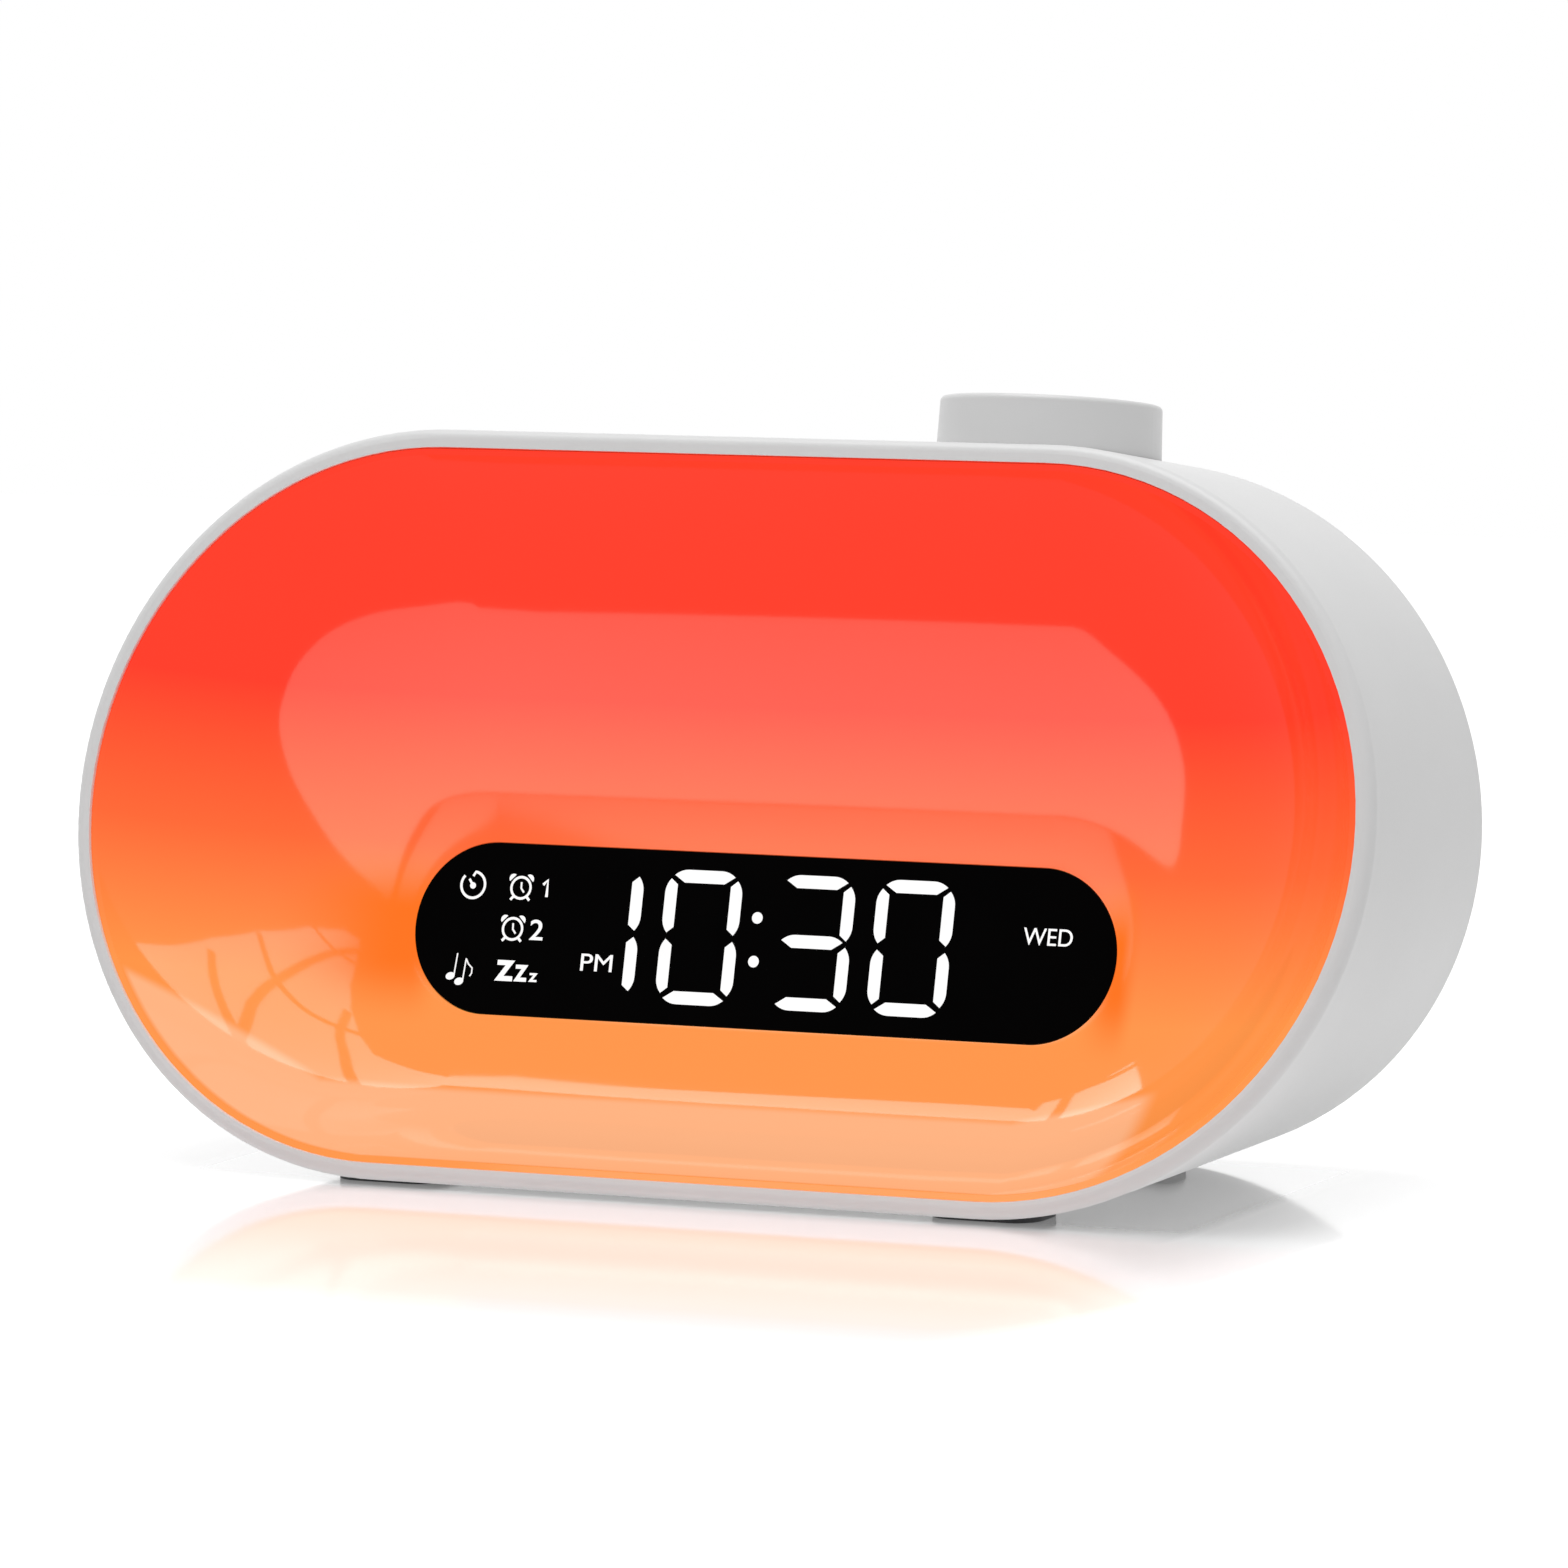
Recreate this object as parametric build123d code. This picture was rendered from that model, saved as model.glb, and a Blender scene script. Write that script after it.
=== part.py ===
from build123d import *
import os
from math import asin, atan2, cos, radians, sin, sqrt, tan

# A bedside sound machine and alarm clock, in millimetres.
# +Z is up, the face looks towards -Y, and the origin is under the middle of the base.

# Front face: two half circles joined by straight runs, leaning back
PANEL_HALF = 43.0
PANEL_RADIUS = 47.0
RIM_WIDTH = 2.4
RIM_ROUND = 1.4
LEAN = 15.0

# Housing behind the face
BACK_HALF = 43.0
BACK_RADIUS = 45.0
BACK_ROUND = 3.0
WALL = 2.4
BACK_WALL = 4.8
COVER_SEAT = 3.0

# Glowing dish
DISH_GAP = 0.15
DISH_LIP = 0.8
DISH_SET_BACK = 0.4
DISH_WALL = 1.8
DISH_DEPTH = 20.3
DISH_STEPS = 8
DISH_EDGE_TURN = 30.0
LEDGE_DEPTH = 10.0
LEDGE_THICK = 2.0
LEDGE_CLEAR = 0.3
FLANGE_THICK = 1.0
FLANGE_CLEAR = 0.3

# Display window, its seat in the dish and the shade behind it
WINDOW_HALF = 39.15
WINDOW_RADIUS = 11.45
WINDOW_DROP = 13.3
WINDOW_THICK = 2.0
WINDOW_GAP = 0.1
WINDOW_LEDGE = 1.4
WINDOW_LEDGE_THICK = 1.0
SHADE_CLEAR = 0.2
SHADE_DEPTH = 4.7
DISPLAY_X = -0.65
DIGIT_WIDTH = 12.4
DIGIT_HEIGHT = 18.0
DIGIT_PITCH = 14.2
COLON_GAP = 2.0
CHIP_SIZE = 1.2
CHIP_HEIGHT = 0.8
CHIP_INSET = 1.6

# Board with the glow lamps
BOARD_THICK = 1.6
FRONT_BOARD_HALF = 43.0
FRONT_BOARD_INSET = 13.0
LAMP_SIZE = 5.0
LAMP_HEIGHT = 1.6
LAMP_COLUMNS = 6
LAMP_PITCH = 16.0
LAMP_ROW = 28.5
LAMP_END_X = 66.0
LAMP_END_ROW = 11.0
BOSS_WIDTH = 6.0
BOSS_ROOT = 0.3
SIDE_BOSS_REACH = 7.4
TOP_BOSS_X = 25.0
TOP_BOSS_RISE = 7.9

# Screws and their holes
SCREW = 2.5
SCREW_HEAD = 4.8
SCREW_HEAD_HEIGHT = 1.2
SCREW_LENGTH = 6.0
SCREW_FREE = 0.2
SCREW_GRIP = 0.05
SCREW_DRIVE = 0.7
SCREW_DRIVE_LENGTH = 3.2
SCREW_DRIVE_DEPTH = 0.6
PILOT_SPARE = 1.0

# Rear cover
COVER_THICK = 2.4
COVER_GAP = 0.2
COVER_BOSS = 7.0
COVER_BOSS_LENGTH = 10.0
COVER_BOSS_INSET = 5.0
COVER_BOSS_ANGLE = 45.0
COVER_SINK = 1.2

# Speaker on the rear cover
SPEAKER_X = -38.0
SPEAKER_Z = 36.5
SPEAKER_FLANGE_RADIUS = 28.4
SPEAKER_FLANGE_THICK = 1.2
SPEAKER_POST_RADIUS = 25.4
SPEAKER_POST = 5.0
SPEAKER_STANDOFF = 3.0
SPEAKER_SCREW_LENGTH = 4.0
BASKET_MOUTH = 21.6
BASKET_FOOT = 12.6
BASKET_DEPTH = 7.0
BASKET_WALL = 1.2
BASKET_WINDOWS = 4
BASKET_WINDOW_WIDTH = 9.0
CONE_MOUTH = 18.0
CONE_THROAT = 6.0
CONE_DEPTH = 3.6
CONE_THICK = 0.6
CAP_RISE = 1.6
COIL_LENGTH = 4.2
COIL_WALL = 0.4
COIL_GAP = 0.6
SURROUND_GAP = 0.3
SURROUND_THICK = 0.6
MAGNET_RADIUS = 13.0
MAGNET_THICK = 4.0
MAGNET_CLEAR = 0.5
POLE_PLATE = 1.2
GASKET_RADIUS = 21.9
GASKET_WIDTH = 2.2
GASKET_SQUEEZE = 0.02
GRILLE_RADIUS = 18.6
GRILLE_SLOTS = 9
GRILLE_SLOT = 1.8
GRILLE_PITCH = 4.0

# Main board on the rear cover
MAIN_LEFT = 10.0
MAIN_RIGHT = 62.0
MAIN_LOW = 14.0
MAIN_HIGH = 62.0
MAIN_POST_LENGTH = 8.0
MAIN_POST = 6.0
MAIN_POST_INSET = 3.2
MAIN_SCREW_LENGTH = 7.0
CHIP_BLOCKS = ((48.0, 40.0, 10.0, 10.0, 1.4), (30.0, 50.0, 7.0, 9.0, 1.4), (52.0, 24.0, 7.0, 7.0, 6.0))

# Push buttons on the back
BUTTON_WIDTH = 8.4
BUTTON_HEIGHT = 4.4
BUTTON_CORNER = 1.6
BUTTON_EDGE = 0.4
BUTTON_GAP = 0.3
BUTTON_PROUD = 1.0
BUTTON_TRAVEL = 0.5
BUTTON_FLANGE = 1.2
BUTTON_FLANGE_THICK = 1.0
BUTTON_STEM = 3.0
BUTTON_Z = 50.0
BUTTON_INSET = 5.0
BUTTON_PITCH = 14.0
BUTTON_NAMES = ("time_button", "alarm_button", "sound_button", "timer_button")
SWITCH_SIZE = 6.0
SWITCH_HEIGHT = 3.4
SWITCH_NUB = 3.4
SWITCH_NUB_RISE = 0.9
SWITCH_CLEAR = 0.1

# Power inlet
INLET_INSET = 11.0
INLET_Z = 20.6
INLET_WIDTH = 9.0
INLET_HEIGHT = 11.0
INLET_NOSE = 8.6
INLET_BORE = 5.6
INLET_DEPTH = 9.0
INLET_GAP = 0.3
INLET_NOSE_SINK = 0.6
INLET_PIN = 2.0
INLET_PIN_SHORT = 1.0

# Backup cell and its turning door
CELL_X = 30.0
CELL_Z = 28.0
CELL_RADIUS = 10.0
CELL_THICK = 3.2
CELL_GAP = 0.2
HOLDER_WALL = 1.4
HOLDER_FLOOR = 0.8
CONTACT_THICK = 0.3
CONTACT_RADIUS = 6.0
DOOR_RADIUS = 12.8
DOOR_GAP = 0.2
DOOR_THICK = 1.2
DOOR_LIP = 1.0
DOOR_LIP_GAP = 0.1
DOOR_TAB_REACH = 1.6
DOOR_TAB_WIDTH = 5.0
DOOR_TAB_THICK = 1.0
DOOR_TAB_GAP = 0.2
DOOR_TURN = 45.0
DOOR_SLOT = 1.6
DOOR_SLOT_LENGTH = 12.0
DOOR_SLOT_DEPTH = 0.7

# Knob and its encoder, on the top face
KNOB_X = 34.1
KNOB_INSET = 20.2
KNOB_RADIUS = 14.55
KNOB_TALL = 7.4
KNOB_SINK = 0.6
KNOB_WELL_DEPTH = 1.3
KNOB_WELL_GAP = 0.35
KNOB_DRAFT = 2.0
KNOB_ROUND = 0.7
KNOB_SKIN = 1.8
KNOB_PRESS = 0.5
STEM_RADIUS = 4.7
STEM_DROP = 5.0
STEM_HOLE_GAP = 0.5
SHAFT_RADIUS = 3.0
SHAFT_FIT = 0.03
SHAFT_FLAT = 1.0
SHAFT_TOP = 2.0
SHAFT_END_GAP = 0.1
COLLAR_RADIUS = 3.6
COLLAR_LENGTH = 2.0
COLLAR_CLEAR = 0.5
SHAFT_BEARING = 0.05
ENCODER_SIZE = 12.4
ENCODER_TALL = 5.0
ENCODER_WELL = 4.0
ENCODER_ROOF = 0.8
ENCODER_FLOOR = 0.8
PLUNGER_RADIUS = 3.6
PLUNGER_THICK = 1.0
PLUNGER_CLEAR = 0.1
ENCODER_BOARD_LENGTH = 26.0
ENCODER_BOARD_DEPTH = 14.0
ENCODER_BOSS_OFFSET = 10.0

# Feet
FOOT_PROUD = 0.6
FOOT_TALL = 1.6
FOOT_LENGTH = 15.0
FOOT_DEPTH = 10.0
FOOT_CORNER = 3.5
FOOT_GAP = 0.1
FOOT_X = 42.5
FOOT_FRONT_INSET = 3.4
FOOT_REAR_INSET = 7.6

# Ribbon and speaker leads
RIBBON_WIDTH = 10.0
RIBBON_THICK = 0.3
RIBBON_X = 22.0
RIBBON_FRONT_Z = 34.0
RIBBON_MAIN_Z = 26.0
RIBBON_RUN = 2.4
RIBBON_BEND = 1.4
SOCKET_WIDTH = 12.0
SOCKET_HEIGHT = 4.0
SOCKET_DEPTH = 2.5
LEAD_WIDTH = 1.2
LEAD_PITCH = 2.4
LEAD_BEND = 3.0
LEAD_STEP = 4.0
PLUG_LENGTH = 4.0
PLUG_HEIGHT = 6.0
PLUG_DEPTH = 3.0
PLUG_INSET = 2.0
TERMINAL_LENGTH = 4.0
TERMINAL_DEPTH = 2.0

# Places worked out from the sizes above
LEAN_SIN = sin(radians(LEAN))
LEAN_COS = cos(radians(LEAN))
OUTER_RADIUS = PANEL_RADIUS + RIM_WIDTH
FRONT_REACH = (OUTER_RADIUS - RIM_ROUND) * LEAN_SIN + RIM_ROUND * (1 - LEAN_COS)
FRONT_Z = FOOT_PROUD + OUTER_RADIUS * LEAN_COS

# The housing is as deep as the dish, the front board and the speaker behind it need
FRONT_BOARD_DEPTH = DISH_DEPTH + WINDOW_THICK + SHADE_DEPTH
FRONT_BOARD_BACK = FRONT_BOARD_DEPTH + BOARD_THICK
FRONT_BOARD_RADIUS = PANEL_RADIUS - FRONT_BOARD_INSET
MAGNET_RISE = SPEAKER_Z + MAGNET_RADIUS - FRONT_Z
MAGNET_REACH = (FRONT_BOARD_BACK + MAGNET_RISE * LEAN_SIN) / LEAN_COS + MAGNET_CLEAR
SPEAKER_DEPTH = BASKET_DEPTH + BASKET_WALL + MAGNET_THICK + POLE_PLATE
BACK_DEPTH = MAGNET_REACH + SPEAKER_DEPTH + SPEAKER_STANDOFF + COVER_THICK

# Places along Y, from the face to the back
FRONT_Y = (FRONT_REACH - BACK_DEPTH - BUTTON_PROUD) / 2
BACK_Y = FRONT_Y + BACK_DEPTH
BACK_Z = FOOT_PROUD + BACK_RADIUS
COVER_Y = BACK_Y - COVER_THICK
MAIN_Y = COVER_Y - MAIN_POST_LENGTH
FLANGE_Y = COVER_Y - SPEAKER_STANDOFF
LEDGE_SHARE = (LEDGE_DEPTH - DISH_SET_BACK) / (DISH_DEPTH - DISH_SET_BACK + DISH_WALL)
PILOT_RADIUS = SCREW / 2 + SCREW_GRIP
SWITCH_TOP_Y = MAIN_Y + SWITCH_HEIGHT + SWITCH_NUB_RISE
BUTTON_SEAT_Y = COVER_Y - BUTTON_GAP
BUTTON_TOP_Y = BACK_Y + BUTTON_PROUD
CONE_SET_BACK = SPEAKER_FLANGE_THICK
COIL_RADIUS = CONE_THROAT - COIL_WALL
TERMINAL_Y = FLANGE_Y - SPEAKER_FLANGE_THICK - TERMINAL_DEPTH
TERMINAL_X = SPEAKER_X + SPEAKER_FLANGE_RADIUS
PLUG_X = MAIN_LEFT + PLUG_INSET
BUTTON_FIRST_X = MAIN_LEFT + BUTTON_INSET
INLET_X = MAIN_RIGHT - INLET_INSET
PLUG_Y = MAIN_Y - BOARD_THICK - PLUG_DEPTH

FACE = Plane(origin=(0, FRONT_Y, FRONT_Z), x_dir=(1, 0, 0), z_dir=(0, -LEAN_COS, LEAN_SIN))
REAR = Plane(origin=(0, BACK_Y, BACK_Z), x_dir=(1, 0, 0), z_dir=(0, -1, 0))

# The top face runs straight from the front's top edge down to the back's top edge
TOP_FRONT_Y = FRONT_Y + OUTER_RADIUS * LEAN_SIN
TOP_FRONT_Z = FRONT_Z + OUTER_RADIUS * LEAN_COS
TOP_SLOPE = atan2(TOP_FRONT_Z - BACK_Z - BACK_RADIUS, BACK_Y - TOP_FRONT_Y)
KNOB_Y = TOP_FRONT_Y + KNOB_INSET
KNOB_Z = TOP_FRONT_Z - (KNOB_Y - TOP_FRONT_Y) * sin(TOP_SLOPE) / cos(TOP_SLOPE)
TOP = Plane(origin=(KNOB_X, KNOB_Y, KNOB_Z), x_dir=(1, 0, 0), z_dir=(0, sin(TOP_SLOPE), cos(TOP_SLOPE)))

# Heights of the knob's and the encoder's parts, counted from the top face
KNOB_LOW = -KNOB_SINK
STEM_BASE = -STEM_DROP
COLLAR_TOP = STEM_BASE - KNOB_PRESS - COLLAR_CLEAR
ENCODER_TOP = COLLAR_TOP - COLLAR_LENGTH
ENCODER_BOARD_TOP = ENCODER_TOP - ENCODER_TALL
PLUNGER_LOW = ENCODER_BOARD_TOP + ENCODER_FLOOR + KNOB_PRESS + PLUNGER_CLEAR
SHAFT_LOW = PLUNGER_LOW + PLUNGER_THICK + SHAFT_END_GAP

# Height on the face of the ribbon's socket, from its height above the ground
RIBBON_RISE = (RIBBON_FRONT_Z - FRONT_Z + FRONT_BOARD_BACK * LEAN_SIN) / LEAN_COS


# Shapes used by several pieces

def slot_face(plane, half, radius, rise=0.0):
    """A flat face with half-round ends, on a plane."""
    return plane * Pos(0, rise) * SlotCenterToCenter(2 * half, 2 * radius)


def slot_block(depth, thick, half, radius, rise=0.0):
    """A slab with half-round ends, behind the face at a depth."""
    return extrude(slot_face(FACE.offset(-depth - thick), half, radius, rise), thick)


def face_peg(x, rise, depth, far, width):
    """A round peg square to the face, between two depths."""
    return FACE * Pos(x, rise, -(depth + far) / 2) * Cylinder(width / 2, far - depth)


def rear_peg(x, z, near, far, radius):
    """A round peg along Y, between two places."""
    return Pos(x, (near + far) / 2, z) * Rot(90, 0, 0) * Cylinder(radius, abs(far - near))


def rear_block(x, z, near, far, width, height):
    """A square block along Y, between two places."""
    return Pos(x, (near + far) / 2, z) * Box(width, abs(far - near), height)


def rear_pad(x, z, near, far, width, height, corner):
    """A block along Y with rounded corners."""
    plane = Plane(origin=(x, min(near, far), z), x_dir=(-1, 0, 0), z_dir=(0, 1, 0))
    return extrude(plane * RectangleRounded(width, height, corner), abs(far - near))


def top_peg(low, high, radius, x=0.0):
    """A round peg square to the top face, between two heights."""
    return TOP * Pos(x, 0, (low + high) / 2) * Cylinder(radius, high - low)


def top_block(low, high, length, depth):
    """A square block on the top face, between two heights."""
    return TOP * Pos(0, 0, (low + high) / 2) * Box(length, depth, high - low)


def speaker_turn(*points):
    """A turned piece about the speaker's axis, from points of radius and depth behind the flange."""
    profile = make_face(Polyline(*[(radius, -depth) for radius, depth in points], close=True))
    spun = revolve(Plane.XZ * profile, Axis.Z, 360)
    return Pos(SPEAKER_X, FLANGE_Y, SPEAKER_Z) * Rot(-90, 0, 0) * spun


def screw(length):
    """A pan screw whose head stands above the origin and whose shank points down."""
    head = Pos(0, 0, SCREW_HEAD_HEIGHT / 2) * Cylinder(SCREW_HEAD / 2, SCREW_HEAD_HEIGHT)
    shank = Pos(0, 0, -length / 2) * Cylinder(SCREW / 2, length)
    drive_place = Pos(0, 0, SCREW_HEAD_HEIGHT - SCREW_DRIVE_DEPTH / 2)
    drive = Box(SCREW_DRIVE_LENGTH, SCREW_DRIVE, SCREW_DRIVE_DEPTH)
    drive += Box(SCREW_DRIVE, SCREW_DRIVE_LENGTH, SCREW_DRIVE_DEPTH)
    return head + shank - drive_place * drive


def rear_screw(x, y, z, length):
    """A screw driven forwards from behind, its head's underside at y."""
    return Pos(x, y, z) * Rot(-90, 0, 0) * screw(length)


def inner_screw(x, y, z, length):
    """A screw driven backwards from inside, its head's underside at y."""
    return Pos(x, y, z) * Rot(90, 0, 0) * screw(length)


def group(solids):
    """Separate solids kept together in one node."""
    return Compound(children=[solid for piece in solids for solid in piece.solids()])


# Housing and what is moulded on it

def dish_size(depth_share, wall):
    """Half length, radius, drop and depth of one skin of the dish, from rim 0 to floor 1."""
    edge = radians(DISH_EDGE_TURN)
    turn = asin(sin(edge) + (1 - sin(edge)) * depth_share)
    share = cos(turn) / cos(edge)
    rim_radius = PANEL_RADIUS - DISH_GAP - (0 if wall else DISH_LIP)
    floor_radius = WINDOW_RADIUS + wall
    half = WINDOW_HALF + (PANEL_HALF - WINDOW_HALF) * share
    radius = floor_radius + (rim_radius - floor_radius) * share
    depth = DISH_SET_BACK + (DISH_DEPTH - DISH_SET_BACK + wall) * depth_share
    return half, radius, WINDOW_DROP * (1 - share), depth


def dish_body(wall):
    """The solid inside one skin of the dish, in even turns from the rim to the floor."""
    edge = radians(DISH_EDGE_TURN)
    sections = []
    for step in range(DISH_STEPS + 1):
        turn = edge + (radians(90) - edge) * step / DISH_STEPS
        depth_share = (sin(turn) - sin(edge)) / (1 - sin(edge))
        half, radius, drop, depth = dish_size(depth_share, wall)
        sections.append(slot_face(FACE.offset(-depth), half, radius, -drop))
    return loft(sections)


def inner_space(clear):
    """The space inside the housing's walls, kept a clearance away from them."""
    back_radius = BACK_RADIUS + (OUTER_RADIUS - BACK_RADIUS) * BACK_WALL / BACK_DEPTH - WALL
    front = slot_face(FACE, PANEL_HALF, PANEL_RADIUS - clear)
    back = slot_face(REAR.offset(BACK_WALL), BACK_HALF, back_radius - clear)
    return loft([front, back], ruled=True)


def cover_radius():
    """End radius of the rear cover's seat in the housing."""
    return BACK_RADIUS - WALL - BACK_ROUND / 2


def cover_screw_places():
    """X and Z of the rear cover's screws."""
    reach = cover_radius() - COVER_BOSS_INSET
    side = BACK_HALF + reach * cos(radians(COVER_BOSS_ANGLE))
    rise = reach * sin(radians(COVER_BOSS_ANGLE))
    corners = [(x, BACK_Z + z) for x in (-side, side) for z in (-rise, rise)]
    return corners + [(0, BACK_Z - reach), (0, BACK_Z + reach)]


def foot_places():
    """Name, X and Y of each foot's middle."""
    front = FRONT_Y - FRONT_REACH + FOOT_FRONT_INSET + FOOT_DEPTH / 2
    rear = BACK_Y - FOOT_REAR_INSET - FOOT_DEPTH / 2
    rows = (("front", front), ("rear", rear))
    sides = (("left", -FOOT_X), ("right", FOOT_X))
    return [(f"foot_{row}_{side}", x, y) for row, y in rows for side, x in sides]


def foot_block(x, y, gap):
    """One foot, or with a gap the pocket that it is pressed into."""
    outline = RectangleRounded(FOOT_LENGTH + 2 * gap, FOOT_DEPTH + 2 * gap, FOOT_CORNER + gap)
    return extrude(Pos(x, y, 0) * outline, FOOT_TALL)


def housing_skin():
    """The housing's outer shape, with its rounded front and back edges."""
    front = slot_face(FACE, PANEL_HALF, OUTER_RADIUS)
    back = slot_face(REAR, BACK_HALF, BACK_RADIUS)
    skin = loft([front, back], ruled=True)
    skin = fillet(skin.faces().sort_by(Axis.Y)[-1].edges(), BACK_ROUND)
    return fillet(skin.faces().sort_by(Axis(FACE.origin, FACE.z_dir))[-1].edges(), RIM_ROUND)


def dish_ledge(skin):
    """The ledge inside the housing that the dish's flange is bonded to."""
    half, radius, drop, _ = dish_size(LEDGE_SHARE, DISH_WALL)
    ring = slot_block(LEDGE_DEPTH, LEDGE_THICK, PANEL_HALF, OUTER_RADIUS)
    opening = slot_block(LEDGE_DEPTH, LEDGE_THICK, half, radius + LEDGE_CLEAR, -drop)
    return (ring & skin) - opening


def make_housing():
    skin = housing_skin()
    mouth = extrude(slot_face(FACE, PANEL_HALF, PANEL_RADIUS), RIM_WIDTH)
    housing = skin - inner_space(0) - mouth + dish_ledge(skin)
    seat = extrude(slot_face(REAR, BACK_HALF, cover_radius()), COVER_THICK)
    opening = extrude(slot_face(REAR, BACK_HALF, cover_radius() - COVER_SEAT), BACK_WALL)
    housing = housing - seat - opening
    for x, z in cover_screw_places():
        boss = rear_peg(x, z, COVER_Y, COVER_Y - COVER_BOSS_LENGTH, COVER_BOSS / 2)
        housing = housing + (boss & skin)
    for x, z in cover_screw_places():
        housing = housing - rear_peg(x, z, COVER_Y, COVER_Y - SCREW_LENGTH - PILOT_SPARE, PILOT_RADIUS)
    for x in (-ENCODER_BOSS_OFFSET, ENCODER_BOSS_OFFSET):
        housing = housing + top_peg(ENCODER_BOARD_TOP, -WALL / 2, BOSS_WIDTH / 2, x)
        pilot_top = ENCODER_BOARD_TOP + SCREW_LENGTH - BOARD_THICK + PILOT_SPARE
        housing = housing - top_peg(ENCODER_BOARD_TOP, pilot_top, PILOT_RADIUS, x)
    housing = housing - top_peg(-STEM_DROP, KNOB_LOW, STEM_RADIUS + STEM_HOLE_GAP)
    housing = housing - top_peg(-KNOB_WELL_DEPTH, KNOB_TALL, KNOB_RADIUS + KNOB_WELL_GAP)
    for _, x, y in foot_places():
        housing = housing - foot_block(x, y, FOOT_GAP)
    return housing


# Glowing dish, display and the board behind them

def front_boss_places():
    """X and height on the face of the bosses that carry the front board."""
    side = WINDOW_HALF + WINDOW_RADIUS + SIDE_BOSS_REACH
    rise = WINDOW_RADIUS - WINDOW_DROP + TOP_BOSS_RISE
    return [(-side, -WINDOW_DROP), (side, -WINDOW_DROP), (-TOP_BOSS_X, rise), (TOP_BOSS_X, rise)]


def make_front_diffuser():
    hollow = dish_body(0)
    flange = slot_block(LEDGE_DEPTH - FLANGE_THICK, FLANGE_THICK, PANEL_HALF, OUTER_RADIUS)
    dish = dish_body(DISH_WALL) + (flange & inner_space(FLANGE_CLEAR)) - hollow
    pocket_deep = WINDOW_THICK + WINDOW_LEDGE_THICK
    cup = slot_block(DISH_DEPTH, pocket_deep, WINDOW_HALF, WINDOW_RADIUS + DISH_WALL, -WINDOW_DROP)
    dish = dish + cup
    for x, rise in front_boss_places():
        dish = dish + face_peg(x, rise, DISH_DEPTH + BOSS_ROOT, FRONT_BOARD_DEPTH, BOSS_WIDTH)
    pocket = slot_block(DISH_DEPTH, WINDOW_THICK, WINDOW_HALF, WINDOW_RADIUS, -WINDOW_DROP)
    sight = slot_block(DISH_DEPTH, pocket_deep, WINDOW_HALF, WINDOW_RADIUS - WINDOW_LEDGE, -WINDOW_DROP)
    dish = dish - pocket - sight
    pilot_start = FRONT_BOARD_BACK - SCREW_LENGTH
    for x, rise in front_boss_places():
        dish = dish - face_peg(x, rise, pilot_start, FRONT_BOARD_DEPTH, 2 * PILOT_RADIUS)
    return dish


def make_display_window():
    return slot_block(DISH_DEPTH, WINDOW_THICK, WINDOW_HALF, WINDOW_RADIUS - WINDOW_GAP, -WINDOW_DROP)


def digit_places():
    """X of each digit of the display, two on each side of the colon."""
    inner = (DIGIT_PITCH + COLON_GAP) / 2
    outer = inner + DIGIT_PITCH
    return [DISPLAY_X + x for x in (-outer, -inner, inner, outer)]


def chip_places():
    """X and height of the lamps behind the segments of one digit."""
    side = DIGIT_WIDTH / 2 - CHIP_INSET
    rise = DIGIT_HEIGHT / 2 - CHIP_INSET
    corners = [(x, y) for x in (-side, side) for y in (-rise / 2, rise / 2)]
    return corners + [(0, -rise), (0, 0), (0, rise)]


def make_display_shade():
    depth = DISH_DEPTH + WINDOW_THICK
    radius = WINDOW_RADIUS - WINDOW_LEDGE - SHADE_CLEAR
    shade = slot_block(depth, FRONT_BOARD_DEPTH - depth, WINDOW_HALF, radius, -WINDOW_DROP)
    well = Box(DIGIT_WIDTH, DIGIT_HEIGHT, 2 * FRONT_BOARD_DEPTH)
    for x in digit_places():
        shade = shade - FACE * Pos(x, -WINDOW_DROP) * well
    return shade


def make_display_leds():
    chip = Box(CHIP_SIZE, CHIP_SIZE, CHIP_HEIGHT)
    height = -FRONT_BOARD_DEPTH + CHIP_HEIGHT / 2
    places = [(digit + x, y) for digit in digit_places() for x, y in chip_places()]
    return group([FACE * Pos(x, y - WINDOW_DROP, height) * chip for x, y in places])


def lamp_places():
    """X and height on the face of the lamps that light the dish."""
    columns = [(index - (LAMP_COLUMNS - 1) / 2) * LAMP_PITCH for index in range(LAMP_COLUMNS)]
    rows = [(x, y) for y in (-LAMP_ROW, LAMP_ROW) for x in columns]
    ends = [(x, y) for x in (-LAMP_END_X, LAMP_END_X) for y in (-LAMP_END_ROW, LAMP_END_ROW)]
    return rows + ends


def make_light_leds():
    lamp = Box(LAMP_SIZE, LAMP_SIZE, LAMP_HEIGHT)
    height = -FRONT_BOARD_DEPTH + LAMP_HEIGHT / 2
    return group([FACE * Pos(x, y, height) * lamp for x, y in lamp_places()])


def make_front_board():
    board = slot_block(FRONT_BOARD_DEPTH, BOARD_THICK, FRONT_BOARD_HALF, FRONT_BOARD_RADIUS)
    far = FRONT_BOARD_BACK
    for x, rise in front_boss_places():
        board = board - face_peg(x, rise, FRONT_BOARD_DEPTH, far, SCREW + 2 * SCREW_FREE)
    return board


def make_front_board_screws():
    far = FRONT_BOARD_BACK
    one = Rot(180, 0, 0) * screw(SCREW_LENGTH - PILOT_SPARE)
    return group([FACE * Pos(x, rise, -far) * one for x, rise in front_boss_places()])


# Rear cover and what it carries

def speaker_screw_places():
    """X and Z of the speaker's screws."""
    reach = SPEAKER_POST_RADIUS / sqrt(2)
    return [(SPEAKER_X + x, SPEAKER_Z + z) for x in (-reach, reach) for z in (-reach, reach)]


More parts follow.
